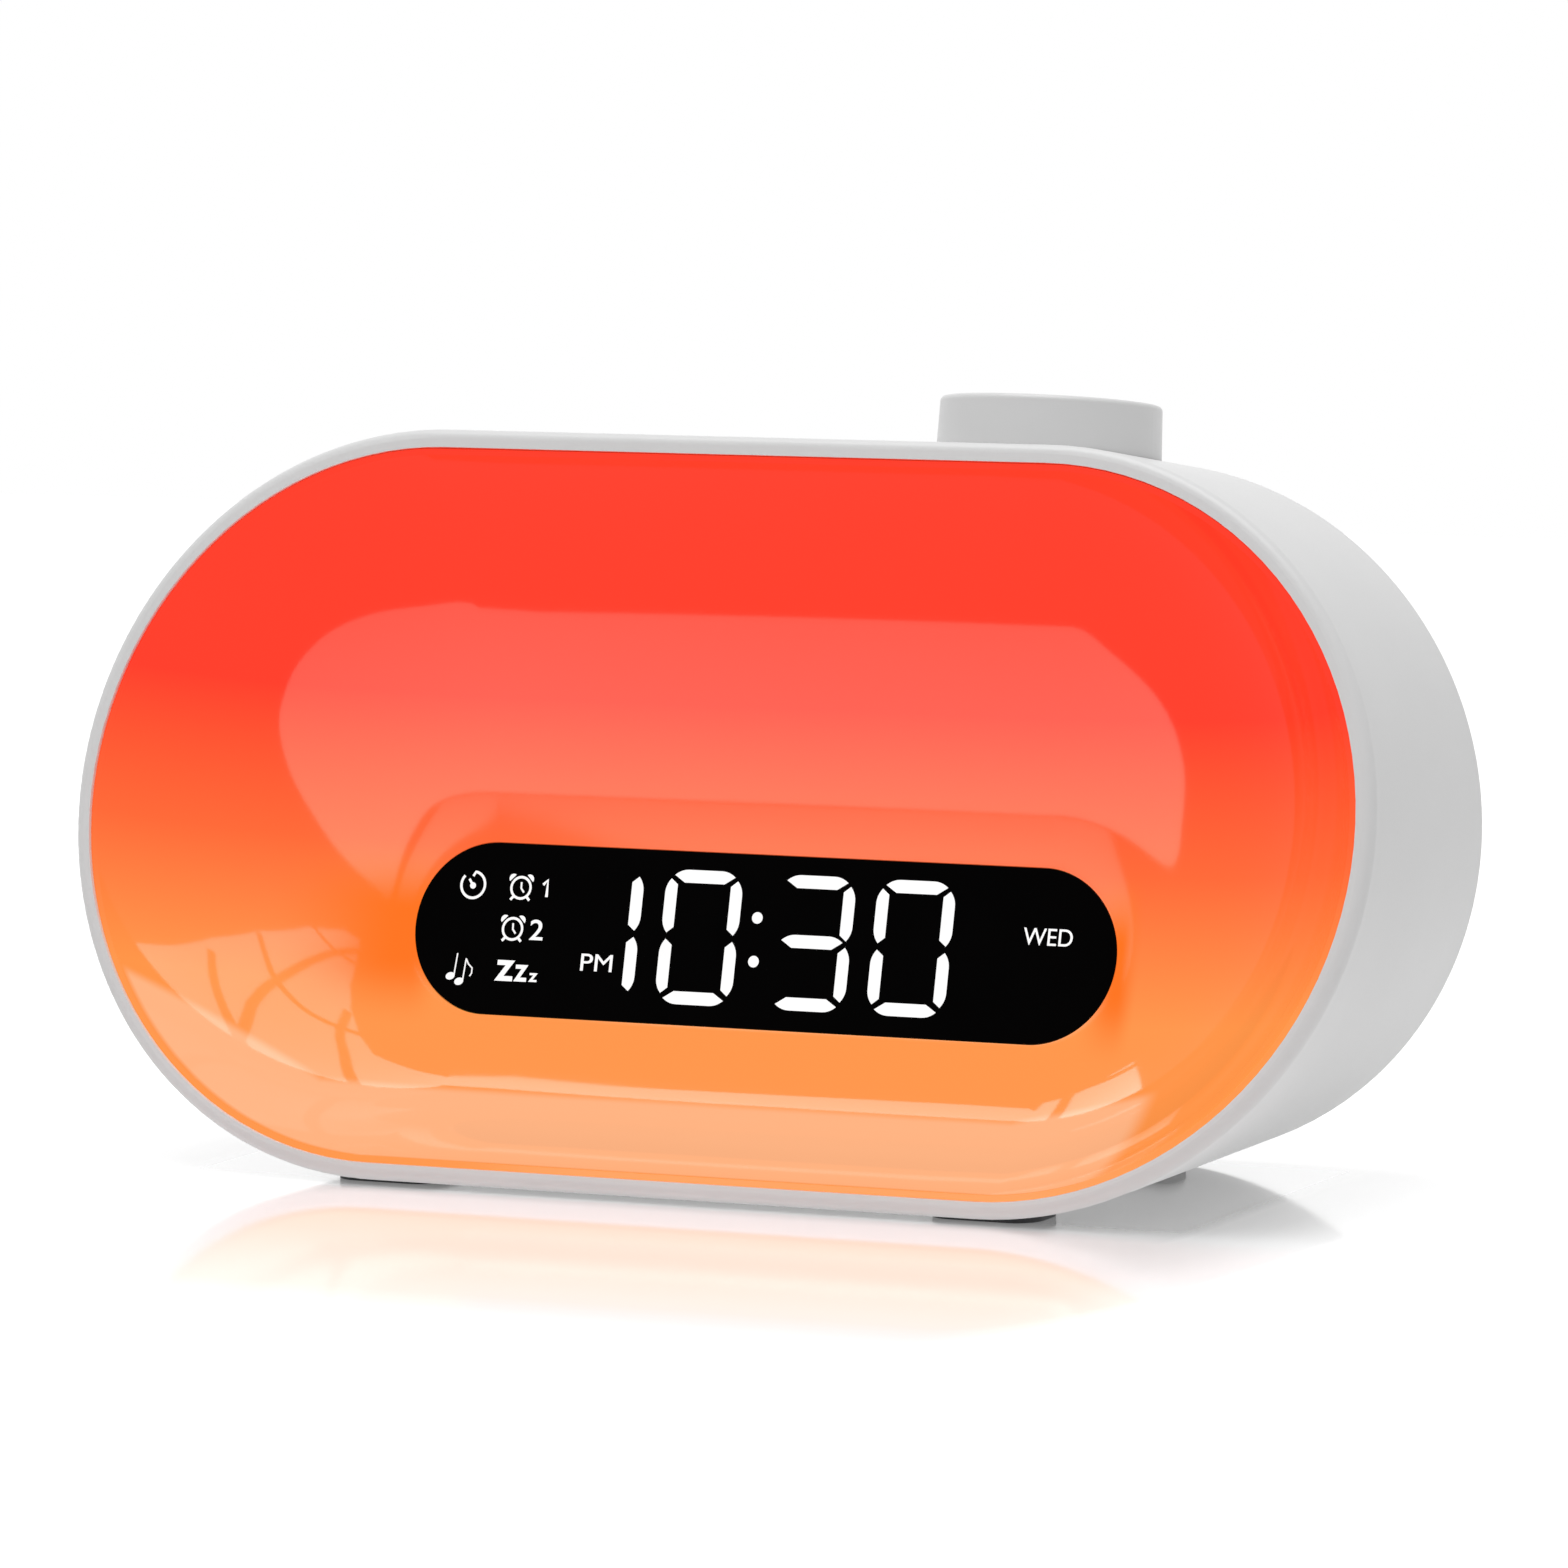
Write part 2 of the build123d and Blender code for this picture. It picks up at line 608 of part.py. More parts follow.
def main_screw_places():
    """X and Z of the main board's screws."""
    sides = (MAIN_LEFT + MAIN_POST_INSET, MAIN_RIGHT - MAIN_POST_INSET)
    heights = (MAIN_LOW + MAIN_POST_INSET, MAIN_HIGH - MAIN_POST_INSET)
    return [(x, z) for x in sides for z in heights]


def button_places():
    """Name and X of each push button."""
    return [(name, BUTTON_FIRST_X + index * BUTTON_PITCH) for index, name in enumerate(BUTTON_NAMES)]


def grille():
    """The slots over the speaker, cut to a round outline."""
    slots = []
    for index in range(GRILLE_SLOTS):
        x = (index - (GRILLE_SLOTS - 1) / 2) * GRILLE_PITCH
        length = 2 * sqrt(GRILLE_RADIUS ** 2 - x ** 2)
        place = Pos(SPEAKER_X + x, SPEAKER_Z - BACK_Z)
        slots.append(extrude(REAR * place * SlotOverall(length, GRILLE_SLOT, rotation=90), COVER_THICK))
    return slots


def door_tab(reach, width, near, far):
    """The two bayonet tabs of the battery door."""
    return rear_block(CELL_X, CELL_Z, near, far, 2 * reach, width)


def cover_holes():
    """Everything that is cut through the rear cover."""
    holes = grille()
    for x, z in cover_screw_places():
        holes.append(rear_peg(x, z, BACK_Y, COVER_Y, SCREW / 2 + SCREW_FREE))
        holes.append(rear_peg(x, z, BACK_Y, BACK_Y - COVER_SINK, SCREW_HEAD / 2 + SCREW_FREE))
    width = BUTTON_WIDTH + 2 * BUTTON_GAP
    height = BUTTON_HEIGHT + 2 * BUTTON_GAP
    for _, x in button_places():
        holes.append(rear_pad(x, BUTTON_Z, COVER_Y, BACK_Y, width, height, BUTTON_CORNER + BUTTON_GAP))
    holes.append(rear_peg(INLET_X, INLET_Z, COVER_Y, BACK_Y, INLET_NOSE / 2 + INLET_GAP))
    holes.append(rear_peg(CELL_X, CELL_Z, BACK_Y - DOOR_THICK, BACK_Y, DOOR_RADIUS + DOOR_GAP))
    holes.append(rear_peg(CELL_X, CELL_Z, COVER_Y, BACK_Y, DOOR_RADIUS - DOOR_LIP))
    reach = DOOR_RADIUS - DOOR_LIP + DOOR_TAB_REACH + DOOR_GAP
    notch = Box(2 * reach, COVER_THICK - DOOR_THICK, DOOR_TAB_WIDTH + 2 * DOOR_GAP)
    notch_y = (COVER_Y + BACK_Y - DOOR_THICK) / 2
    holes.append(Pos(CELL_X, notch_y, CELL_Z) * Rot(0, DOOR_TURN, 0) * notch)
    return holes


def make_rear_cover():
    cover = extrude(slot_face(REAR, BACK_HALF, cover_radius() - COVER_GAP), COVER_THICK)
    for x, z in speaker_screw_places():
        cover = cover + rear_peg(x, z, COVER_Y, FLANGE_Y, SPEAKER_POST / 2)
    for x, z in main_screw_places():
        cover = cover + rear_peg(x, z, COVER_Y, MAIN_Y, MAIN_POST / 2)
    for hole in cover_holes():
        cover = cover - hole
    for x, z in speaker_screw_places():
        pilot = FLANGE_Y + SPEAKER_SCREW_LENGTH - SPEAKER_FLANGE_THICK + PILOT_SPARE
        cover = cover - rear_peg(x, z, FLANGE_Y, pilot, PILOT_RADIUS)
    for x, z in main_screw_places():
        pilot = MAIN_Y + MAIN_SCREW_LENGTH - BOARD_THICK + PILOT_SPARE
        cover = cover - rear_peg(x, z, MAIN_Y, pilot, PILOT_RADIUS)
    return cover


def make_cover_screws():
    length = COVER_THICK - COVER_SINK + SCREW_LENGTH
    return group([rear_screw(x, BACK_Y - COVER_SINK, z, length) for x, z in cover_screw_places()])


def make_main_board():
    middle_x = (MAIN_LEFT + MAIN_RIGHT) / 2
    middle_z = (MAIN_LOW + MAIN_HIGH) / 2
    size = (MAIN_RIGHT - MAIN_LEFT, MAIN_HIGH - MAIN_LOW)
    board = rear_block(middle_x, middle_z, MAIN_Y - BOARD_THICK, MAIN_Y, *size)
    for x, z in main_screw_places():
        board = board - rear_peg(x, z, MAIN_Y - BOARD_THICK, MAIN_Y, SCREW / 2 + SCREW_FREE)
    return board


def make_main_board_screws():
    near = MAIN_Y - BOARD_THICK
    return group([inner_screw(x, near, z, MAIN_SCREW_LENGTH) for x, z in main_screw_places()])


def make_main_chips():
    near = MAIN_Y - BOARD_THICK
    return group([rear_block(x, z, near - tall, near, w, h) for x, z, w, h, tall in CHIP_BLOCKS])


def make_tact_switches():
    switches = []
    for _, x in button_places():
        body = rear_block(x, BUTTON_Z, MAIN_Y, MAIN_Y + SWITCH_HEIGHT, SWITCH_SIZE, SWITCH_SIZE)
        nub = rear_peg(x, BUTTON_Z, MAIN_Y, SWITCH_TOP_Y, SWITCH_NUB / 2)
        switches.append(body + nub)
    return group(switches)


def make_button(x):
    size = (BUTTON_WIDTH, BUTTON_HEIGHT, BUTTON_CORNER)
    cap = rear_pad(x, BUTTON_Z, BUTTON_SEAT_Y, BUTTON_TOP_Y, *size)
    cap = fillet(cap.faces().sort_by(Axis.Y)[-1].edges(), BUTTON_EDGE)
    width = BUTTON_WIDTH + 2 * BUTTON_FLANGE
    height = BUTTON_HEIGHT + 2 * BUTTON_FLANGE
    foot = BUTTON_SEAT_Y - BUTTON_FLANGE_THICK
    flange = rear_pad(x, BUTTON_Z, foot, BUTTON_SEAT_Y, width, height, BUTTON_CORNER)
    stem_end = SWITCH_TOP_Y + BUTTON_TRAVEL + SWITCH_CLEAR
    return cap + flange + rear_peg(x, BUTTON_Z, stem_end, foot, BUTTON_STEM / 2)


def make_dc_inlet():
    nose_y = BACK_Y - INLET_NOSE_SINK
    body = rear_block(INLET_X, INLET_Z, MAIN_Y, COVER_Y - INLET_GAP, INLET_WIDTH, INLET_HEIGHT)
    body = body + rear_peg(INLET_X, INLET_Z, MAIN_Y, nose_y, INLET_NOSE / 2)
    return body - rear_peg(INLET_X, INLET_Z, nose_y - INLET_DEPTH, nose_y, INLET_BORE / 2)


def make_inlet_pin():
    nose_y = BACK_Y - INLET_NOSE_SINK
    return rear_peg(INLET_X, INLET_Z, nose_y - INLET_DEPTH, nose_y - INLET_PIN_SHORT, INLET_PIN / 2)


# Backup cell

def make_cell_holder():
    floor = MAIN_Y + HOLDER_FLOOR
    top = floor + CONTACT_THICK + CELL_THICK
    radius = CELL_RADIUS + CELL_GAP
    holder = rear_peg(CELL_X, CELL_Z, MAIN_Y, top, radius + HOLDER_WALL)
    return holder - rear_peg(CELL_X, CELL_Z, floor, top, radius)


def make_cell_contact():
    floor = MAIN_Y + HOLDER_FLOOR
    return rear_peg(CELL_X, CELL_Z, floor, floor + CONTACT_THICK, CONTACT_RADIUS)


def make_coin_cell():
    seat = MAIN_Y + HOLDER_FLOOR + CONTACT_THICK
    return rear_peg(CELL_X, CELL_Z, seat, seat + CELL_THICK, CELL_RADIUS)


def make_battery_door():
    disc_y = BACK_Y - DOOR_THICK + DOOR_LIP_GAP
    tab_y = COVER_Y - DOOR_TAB_GAP
    foot = tab_y - DOOR_TAB_THICK
    neck = DOOR_RADIUS - DOOR_LIP - DOOR_GAP
    door = rear_peg(CELL_X, CELL_Z, disc_y, BACK_Y, DOOR_RADIUS)
    door = door + rear_peg(CELL_X, CELL_Z, foot, BACK_Y, neck)
    tabs = door_tab(DOOR_RADIUS - DOOR_LIP + DOOR_TAB_REACH, DOOR_TAB_WIDTH, foot, tab_y)
    door = door + tabs - rear_peg(CELL_X, CELL_Z, foot, disc_y, neck - HOLDER_WALL)
    slot = rear_block(CELL_X, CELL_Z, BACK_Y - DOOR_SLOT_DEPTH, BACK_Y, DOOR_SLOT_LENGTH, DOOR_SLOT)
    return door - slot


# Speaker

def make_speaker_basket():
    mouth = BASKET_MOUTH
    foot = BASKET_DEPTH + BASKET_WALL
    hole = COIL_RADIUS + COIL_WALL + COIL_GAP
    basket = speaker_turn(
        (mouth, 0), (SPEAKER_FLANGE_RADIUS, 0), (SPEAKER_FLANGE_RADIUS, SPEAKER_FLANGE_THICK),
        (mouth + BASKET_WALL, SPEAKER_FLANGE_THICK), (BASKET_FOOT + BASKET_WALL, foot), (hole, foot),
        (hole, BASKET_DEPTH), (BASKET_FOOT, BASKET_DEPTH), (mouth, SPEAKER_FLANGE_THICK))
    depth = BASKET_DEPTH - SPEAKER_FLANGE_THICK
    window_y = FLANGE_Y - SPEAKER_FLANGE_THICK - depth / 2
    window = Box(2 * SPEAKER_FLANGE_RADIUS, depth, BASKET_WINDOW_WIDTH)
    for index in range(BASKET_WINDOWS // 2):
        turn = Rot(0, index * 360 / BASKET_WINDOWS, 0)
        basket = basket - Pos(SPEAKER_X, window_y, SPEAKER_Z) * turn * window
    for x, z in speaker_screw_places():
        basket = basket - rear_peg(x, z, FLANGE_Y - SPEAKER_FLANGE_THICK, FLANGE_Y, SCREW / 2 + SCREW_FREE)
    terminal_x = TERMINAL_X - TERMINAL_LENGTH / 2
    near = FLANGE_Y - SPEAKER_FLANGE_THICK / 2
    return basket + rear_block(terminal_x, SPEAKER_Z, TERMINAL_Y, near, TERMINAL_LENGTH, PLUG_HEIGHT)


def make_speaker_magnet():
    near = BASKET_DEPTH + BASKET_WALL
    far = near + MAGNET_THICK
    hole = COIL_RADIUS + COIL_WALL + COIL_GAP
    return speaker_turn((hole, near), (MAGNET_RADIUS, near), (MAGNET_RADIUS, far), (hole, far))


def make_speaker_pole():
    near = BASKET_DEPTH
    plate = BASKET_DEPTH + BASKET_WALL + MAGNET_THICK
    core = COIL_RADIUS - COIL_GAP
    far = plate + POLE_PLATE
    return speaker_turn(
        (0, near), (core, near), (core, plate),
        (MAGNET_RADIUS, plate), (MAGNET_RADIUS, far), (0, far))


def make_speaker_cone():
    throat = CONE_SET_BACK + CONE_DEPTH
    cone = speaker_turn(
        (CONE_MOUTH, CONE_SET_BACK), (CONE_MOUTH, CONE_SET_BACK + CONE_THICK),
        (CONE_THROAT, throat + CONE_THICK), (CONE_THROAT, throat))
    edge = CONE_THROAT + CONE_THICK
    cap = speaker_turn(
        (0, throat - CAP_RISE), (CONE_THROAT / 2, throat - CAP_RISE * 3 / 4), (edge, throat),
        (edge, throat + CONE_THICK), (0, throat + CONE_THICK))
    coil_end = throat + COIL_LENGTH
    coil = speaker_turn(
        (COIL_RADIUS, throat), (COIL_RADIUS + COIL_WALL, throat),
        (COIL_RADIUS + COIL_WALL, coil_end), (COIL_RADIUS, coil_end))
    return cone + cap + coil


def make_speaker_surround():
    inner = CONE_MOUTH + SURROUND_GAP
    middle = (inner + BASKET_MOUTH) / 2
    low = CONE_SET_BACK
    high = CONE_SET_BACK - SURROUND_THICK
    return speaker_turn(
        (inner, low), (inner, high), (middle, 0), (BASKET_MOUTH, high),
        (BASKET_MOUTH, low), (middle, SURROUND_THICK))


def make_speaker_gasket():
    low = -SPEAKER_STANDOFF + GASKET_SQUEEZE
    outer = GASKET_RADIUS
    inner = GASKET_RADIUS - GASKET_WIDTH
    return speaker_turn((inner, low), (outer, low), (outer, -GASKET_SQUEEZE), (inner, -GASKET_SQUEEZE))


def make_speaker_screws():
    near = FLANGE_Y - SPEAKER_FLANGE_THICK
    return group([inner_screw(x, near, z, SPEAKER_SCREW_LENGTH) for x, z in speaker_screw_places()])


# Knob and encoder

def shaft_rod(low, high, gap):
    """The encoder's shaft with its flat, or with a gap the hole that it fits."""
    rod = top_peg(low, high, SHAFT_RADIUS + gap)
    flat = SHAFT_RADIUS - SHAFT_FLAT + gap
    cut = TOP * Pos(flat + SHAFT_RADIUS, 0, (STEM_BASE + high) / 2)
    return rod - cut * Box(2 * SHAFT_RADIUS, 4 * SHAFT_RADIUS, high - STEM_BASE)


def make_knob_cap():
    top = KNOB_LOW + KNOB_TALL
    roof = top - KNOB_SKIN
    tip = KNOB_RADIUS - KNOB_TALL * tan(radians(KNOB_DRAFT))
    knob = TOP * Pos(0, 0, KNOB_LOW + KNOB_TALL / 2) * Cone(KNOB_RADIUS, tip, KNOB_TALL)
    knob = fillet(knob.faces().sort_by(Axis(TOP.origin, TOP.z_dir))[-1].edges(), KNOB_ROUND)
    knob = knob - top_peg(KNOB_LOW, roof, tip - KNOB_SKIN) + top_peg(STEM_BASE, roof, STEM_RADIUS)
    return knob - shaft_rod(STEM_BASE, SHAFT_TOP + SHAFT_END_GAP, SHAFT_FIT)


def make_encoder_shaft():
    return shaft_rod(SHAFT_LOW, SHAFT_TOP, 0)


def make_encoder_plunger():
    return top_peg(PLUNGER_LOW, PLUNGER_LOW + PLUNGER_THICK, PLUNGER_RADIUS)


def make_encoder_body():
    body = top_block(ENCODER_BOARD_TOP, ENCODER_TOP, ENCODER_SIZE, ENCODER_SIZE)
    body = body + top_peg(ENCODER_TOP, COLLAR_TOP, COLLAR_RADIUS + SHAFT_BEARING)
    body = body - top_peg(ENCODER_BOARD_TOP + ENCODER_FLOOR, ENCODER_TOP - ENCODER_ROOF, ENCODER_WELL)
    return body - top_peg(SHAFT_LOW, COLLAR_TOP, SHAFT_RADIUS + SHAFT_BEARING)


def make_encoder_board():
    low = ENCODER_BOARD_TOP - BOARD_THICK
    board = top_block(low, ENCODER_BOARD_TOP, ENCODER_BOARD_LENGTH, ENCODER_BOARD_DEPTH)
    for x in (-ENCODER_BOSS_OFFSET, ENCODER_BOSS_OFFSET):
        board = board - top_peg(low, ENCODER_BOARD_TOP, SCREW / 2 + SCREW_FREE, x)
    return board


def make_encoder_screws():
    low = ENCODER_BOARD_TOP - BOARD_THICK
    one = Rot(180, 0, 0) * screw(SCREW_LENGTH)
    return group([TOP * Pos(x, 0, low) * one for x in (-ENCODER_BOSS_OFFSET, ENCODER_BOSS_OFFSET)])


# Wiring

def face_point(rise, depth):
    """Y and Z of a point behind the face."""
    return FRONT_Y + rise * LEAN_SIN + depth * LEAN_COS, FRONT_Z + rise * LEAN_COS - depth * LEAN_SIN


def make_ribbon_sockets():
    far = FRONT_BOARD_BACK
    front = FACE * Pos(RIBBON_X, RIBBON_RISE, -far - SOCKET_DEPTH / 2)
    front = front * Box(SOCKET_WIDTH, SOCKET_HEIGHT, SOCKET_DEPTH)
    near = MAIN_Y - BOARD_THICK
    main = rear_block(RIBBON_X, RIBBON_MAIN_Z, near - SOCKET_DEPTH, near, SOCKET_WIDTH, SOCKET_HEIGHT)
    return group([front, main])


def make_ribbon_cable():
    far = FRONT_BOARD_BACK + SOCKET_DEPTH
    near = MAIN_Y - BOARD_THICK - SOCKET_DEPTH
    points = [
        face_point(RIBBON_RISE, far), face_point(RIBBON_RISE, far + RIBBON_RUN),
        (near - RIBBON_RUN, RIBBON_MAIN_Z), (near, RIBBON_MAIN_Z)]
    strip = trace(FilletPolyline(*points, radius=RIBBON_BEND), RIBBON_THICK)
    side = Plane(origin=(RIBBON_X - RIBBON_WIDTH / 2, 0, 0), x_dir=(0, 1, 0), z_dir=(1, 0, 0))
    return extrude(side * strip, RIBBON_WIDTH)


def make_speaker_plug():
    near = MAIN_Y - BOARD_THICK
    return rear_block(PLUG_X + PLUG_LENGTH / 2, SPEAKER_Z, PLUG_Y, near, PLUG_LENGTH, PLUG_HEIGHT)


def make_speaker_leads():
    start_y = TERMINAL_Y + TERMINAL_DEPTH / 2
    end_y = PLUG_Y + PLUG_DEPTH / 2
    bend_x = (TERMINAL_X + PLUG_X) / 2
    points = [
        (TERMINAL_X, start_y), (bend_x - LEAD_STEP / 2, start_y),
        (bend_x + LEAD_STEP / 2, end_y), (PLUG_X, end_y)]
    leads = []
    for z in (SPEAKER_Z - LEAD_PITCH / 2, SPEAKER_Z + LEAD_PITCH / 2):
        path = Pos(0, 0, z) * FilletPolyline(*points, radius=LEAD_BEND)
        end = Plane(origin=path @ 0, z_dir=path % 0)
        leads.append(sweep(end * Circle(LEAD_WIDTH / 2), path=path))
    return group(leads)


def make_feet():
    return {name: foot_block(x, y, 0) for name, x, y in foot_places()}


def make_all():
    """Every node's name and solid."""
    nodes = {
        "housing": make_housing(),
        "front_diffuser": make_front_diffuser(),
        "display_window": make_display_window(),
        "display_shade": make_display_shade(),
        "display_leds": make_display_leds(),
        "front_board": make_front_board(),
        "light_leds": make_light_leds(),
        "front_board_screws": make_front_board_screws(),
        "rear_cover": make_rear_cover(),
        "cover_screws": make_cover_screws(),
        "main_board": make_main_board(),
        "main_chips": make_main_chips(),
        "main_board_screws": make_main_board_screws(),
        "tact_switches": make_tact_switches(),
        "ribbon_sockets": make_ribbon_sockets(),
        "ribbon_cable": make_ribbon_cable(),
        "dc_inlet": make_dc_inlet(),
        "inlet_pin": make_inlet_pin(),
        "cell_holder": make_cell_holder(),
        "cell_contact": make_cell_contact(),
        "coin_cell": make_coin_cell(),
        "battery_door": make_battery_door(),
        "speaker_basket": make_speaker_basket(),
        "speaker_magnet": make_speaker_magnet(),
        "speaker_pole": make_speaker_pole(),
        "speaker_cone": make_speaker_cone(),
        "speaker_surround": make_speaker_surround(),
        "speaker_gasket": make_speaker_gasket(),
        "speaker_screws": make_speaker_screws(),
        "speaker_plug": make_speaker_plug(),
        "speaker_leads": make_speaker_leads(),
        "knob_cap": make_knob_cap(),
        "encoder_shaft": make_encoder_shaft(),
        "encoder_plunger": make_encoder_plunger(),
        "encoder_body": make_encoder_body(),
        "encoder_board": make_encoder_board(),
        "encoder_screws": make_encoder_screws(),
    }
    nodes.update({name: make_button(x) for name, x in button_places()})
    nodes.update(make_feet())
    return nodes


def main():
    os.makedirs("parts", exist_ok=True)
    for name, solid in make_all().items():
        export_step(solid, f"parts/{name}.step")


main()
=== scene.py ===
"""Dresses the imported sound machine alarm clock: finishes, glowing dish, display marks, back and stage."""

from math import cos, pi, radians, sin

import bmesh
import bpy
from bpy.props import FloatProperty, FloatVectorProperty, IntProperty, PointerProperty
from mathutils import Matrix, Vector
from mathutils.geometry import delaunay_2d_cdt, interpolate_bezier


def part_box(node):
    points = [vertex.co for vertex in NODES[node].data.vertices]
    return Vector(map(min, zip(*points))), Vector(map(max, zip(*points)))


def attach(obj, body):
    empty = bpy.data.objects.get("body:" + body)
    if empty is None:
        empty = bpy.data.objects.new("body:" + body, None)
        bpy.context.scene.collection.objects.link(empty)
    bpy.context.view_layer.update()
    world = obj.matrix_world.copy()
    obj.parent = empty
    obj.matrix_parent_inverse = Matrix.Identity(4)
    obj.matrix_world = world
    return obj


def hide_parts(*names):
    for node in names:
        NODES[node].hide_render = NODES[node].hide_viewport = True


bl_info = {
    "name": "Sound machine alarm clock",
    "version": (1, 0, 0),
    "blender": (4, 5, 0),
    "location": "View3D > Sidebar > Clock",
    "description": "Gives the packed clock its finishes, display and stage",
    "category": "Object",
}

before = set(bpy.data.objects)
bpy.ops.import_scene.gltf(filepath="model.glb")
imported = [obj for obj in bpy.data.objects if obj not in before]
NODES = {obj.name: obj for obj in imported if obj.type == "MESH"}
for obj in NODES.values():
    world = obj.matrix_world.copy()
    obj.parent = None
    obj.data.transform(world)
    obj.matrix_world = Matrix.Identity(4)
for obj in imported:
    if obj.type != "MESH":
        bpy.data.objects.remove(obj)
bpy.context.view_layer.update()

MM = 0.001

# Face of the clock: it leans back, and lengths on it run right, up and out
LEAN = radians(15)
FACE_RIGHT = Vector((1, 0, 0))
FACE_UP = Vector((0, sin(LEAN), cos(LEAN)))
FACE_OUT = Vector((0, -cos(LEAN), sin(LEAN)))
FACE_TILT = pi / 2 - LEAN
WINDOW_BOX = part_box("display_window")
WINDOW_THICK = 2.0 * MM
WINDOW_FRONT = (WINDOW_BOX[0] + WINDOW_BOX[1]) / 2 + FACE_OUT * WINDOW_THICK / 2
WINDOW_DROP = 13.3 * MM
DISH_DEPTH = 20.3 * MM
FACE_CENTRE = WINDOW_FRONT + FACE_UP * WINDOW_DROP + FACE_OUT * DISH_DEPTH

# Camera of the product shot
CAMERA_PLACE = Vector((0.530382, -1.073697, 0.186840))
CAMERA_RIGHT = Vector((0.897942, 0.439946, -0.012139))
CAMERA_UP = Vector((-0.038959, 0.106927, 0.993503))
CAMERA_LENS = 213.86
CAMERA_SENSOR = 36.0
CAMERA_CLIP = (0.05, 60.0)

# Glow of the bowl, in millimetres right of, above and behind the face's centre.
# Its colour runs between two levels
GLOW_LEVELS = (-22, 17)
# It is paler under a line, a painted reflection of the skylight: the line's level and softness, where each
# end starts to rise and how steeply, where the pale part stops on the right, and how far behind the face it
# starts
PAINTED_REFLECTION_LINE = -34.5
PAINTED_REFLECTION_LINE_SOFT = 1.4
PAINTED_REFLECTION_LINE_LEFT = (-58, 0.48)
PAINTED_REFLECTION_LINE_RIGHT = (40, 0.24)
PAINTED_REFLECTION_STOP = (61, 57)
PAINTED_REFLECTION_BEHIND = (0.5, 1.2)
# Painted shade makes it deeper beside the window's ends: their places and level, then the distances over
# which that fades
END_PLACE = 50.6
END_LEVEL = -14.5
END_INSIDE = (-5, 0)
END_LEFT = (21, 2)
END_RIGHT = (3.5, 0.5)
END_OFF_LEVEL = (13, 3)


def place_matrix(origin, right, up):
    """Turns lengths to the right, up and out into the clock's own frame."""
    turn = Matrix((right, up, right.cross(up))).transposed().to_4x4()
    return Matrix.Translation(origin) @ turn


# Settings that a user would change

def length_setting(name, description, millimetres):
    """A length among the settings."""
    return FloatProperty(name=name, description=description, default=millimetres * MM, unit="LENGTH")


def colour_setting(name, description, value):
    """A colour among the settings."""
    return FloatVectorProperty(name=name, description=description, default=value, subtype="COLOR", size=3)


class DishSettings(bpy.types.PropertyGroup):
    rim_half: length_setting("Rim half length", "Half of the straight run at the rim", 43.0)
    floor_half: length_setting("Floor half length", "Half of the straight run round the window", 39.15)
    rim_radius: length_setting("Rim radius", "Radius of the round ends at the rim", 46.05)
    floor_radius: length_setting("Floor radius", "Radius of the round ends at the window", 11.45)
    set_back: length_setting("Set back", "How far the rim lies behind the face", 0.4)
    edge_turn: FloatProperty(
        name="Edge turn", description="Slope of the bowl at its rim", default=radians(30), subtype="ANGLE")
    lip: length_setting("Lip width", "Flat lip round the rim", 0.8)
    wall: length_setting("Wall", "Thickness of the glowing skin", 0.7)
    around: IntProperty(name="Points around", description="Points along each ring of the bowl", default=320)
    rings: IntProperty(name="Rings", description="Rings from the rim to the window", default=96)
    top_colour: colour_setting("Top glow", "Glow at the top of the bowl", (0.982, 0.040, 0.015))
    middle_colour: colour_setting("Middle glow", "Glow half way down", (0.982, 0.135, 0.030))
    low_colour: colour_setting("Low glow", "Glow at the bottom of the bowl", (0.984, 0.303, 0.065))
    # The pale glow is a painted reflection of the skylight in the lower bowl
    painted_reflection_colour: colour_setting("Pale glow", "Glow over the lamps along the lower edge", (0.99, 0.472, 0.238))
    # The deep glow is painted shade beside the window's ends
    painted_shade_colour: colour_setting("Deep glow", "Glow beside the ends of the window", (0.985, 0.172, 0.012))
    glow: FloatProperty(name="Glow", description="Strength of the light that the bowl gives", default=0.95)


class DisplaySettings(bpy.types.PropertyGroup):
    mark_colour: colour_setting("Marks", "Colour of the lit digits and signs", (0.95, 0.95, 0.95))
    digit_half: length_setting("Digit half width", "From a digit's middle to its upright segments", 4.72)
    segment_width: length_setting("Segment width", "Width of one lit segment", 1.7)
    level_length: length_setting("Level segment", "Length of a level segment from tip to tip", 8.75)
    upright_length: length_setting("Upright segment", "Length of an upright segment from tip to tip", 7.1)
    mark_height: length_setting("Mark height", "How far the marks stand on the window", 0.05)


class FinishSettings(bpy.types.PropertyGroup):
    shell: colour_setting("Shell", "Satin white of the housing", (0.80, 0.80, 0.80))
    knob: colour_setting("Knob", "White of the knob", (0.78, 0.78, 0.78))
    button: colour_setting("Buttons", "Grey of the buttons on the back", (0.48, 0.485, 0.49))
    rubber: colour_setting("Feet", "Dark rubber of the feet", (0.035, 0.035, 0.037))
    board: colour_setting("Boards", "Lacquer on the circuit boards", (0.015, 0.11, 0.045))


class StageSettings(bpy.types.PropertyGroup):
    ambient: FloatProperty(name="Ambient", description="Light from all round", default=0.41)
    floor: colour_setting("Floor", "Colour of the floor", (0.95, 0.95, 0.95))
    lift: FloatProperty(
        name="Floor lift", description="Brightness that makes the lit floor white to the camera",
        default=0.50)
    key_power: FloatProperty(
        name="Key lamp", description="Power of the lamp overhead", default=13.0, unit="POWER")


# Node helpers

def connect(tree, socket, value):
    """Links an output to a socket, or sets a plain value on it."""
    if isinstance(value, bpy.types.NodeSocket):
        tree.links.new(value, socket)
    else:
        socket.default_value = value


def feed(tree, node, values):
    """Sets or links a node's inputs, by name or number."""
    for name, value in values.items():
        connect(tree, node.inputs[name], value)


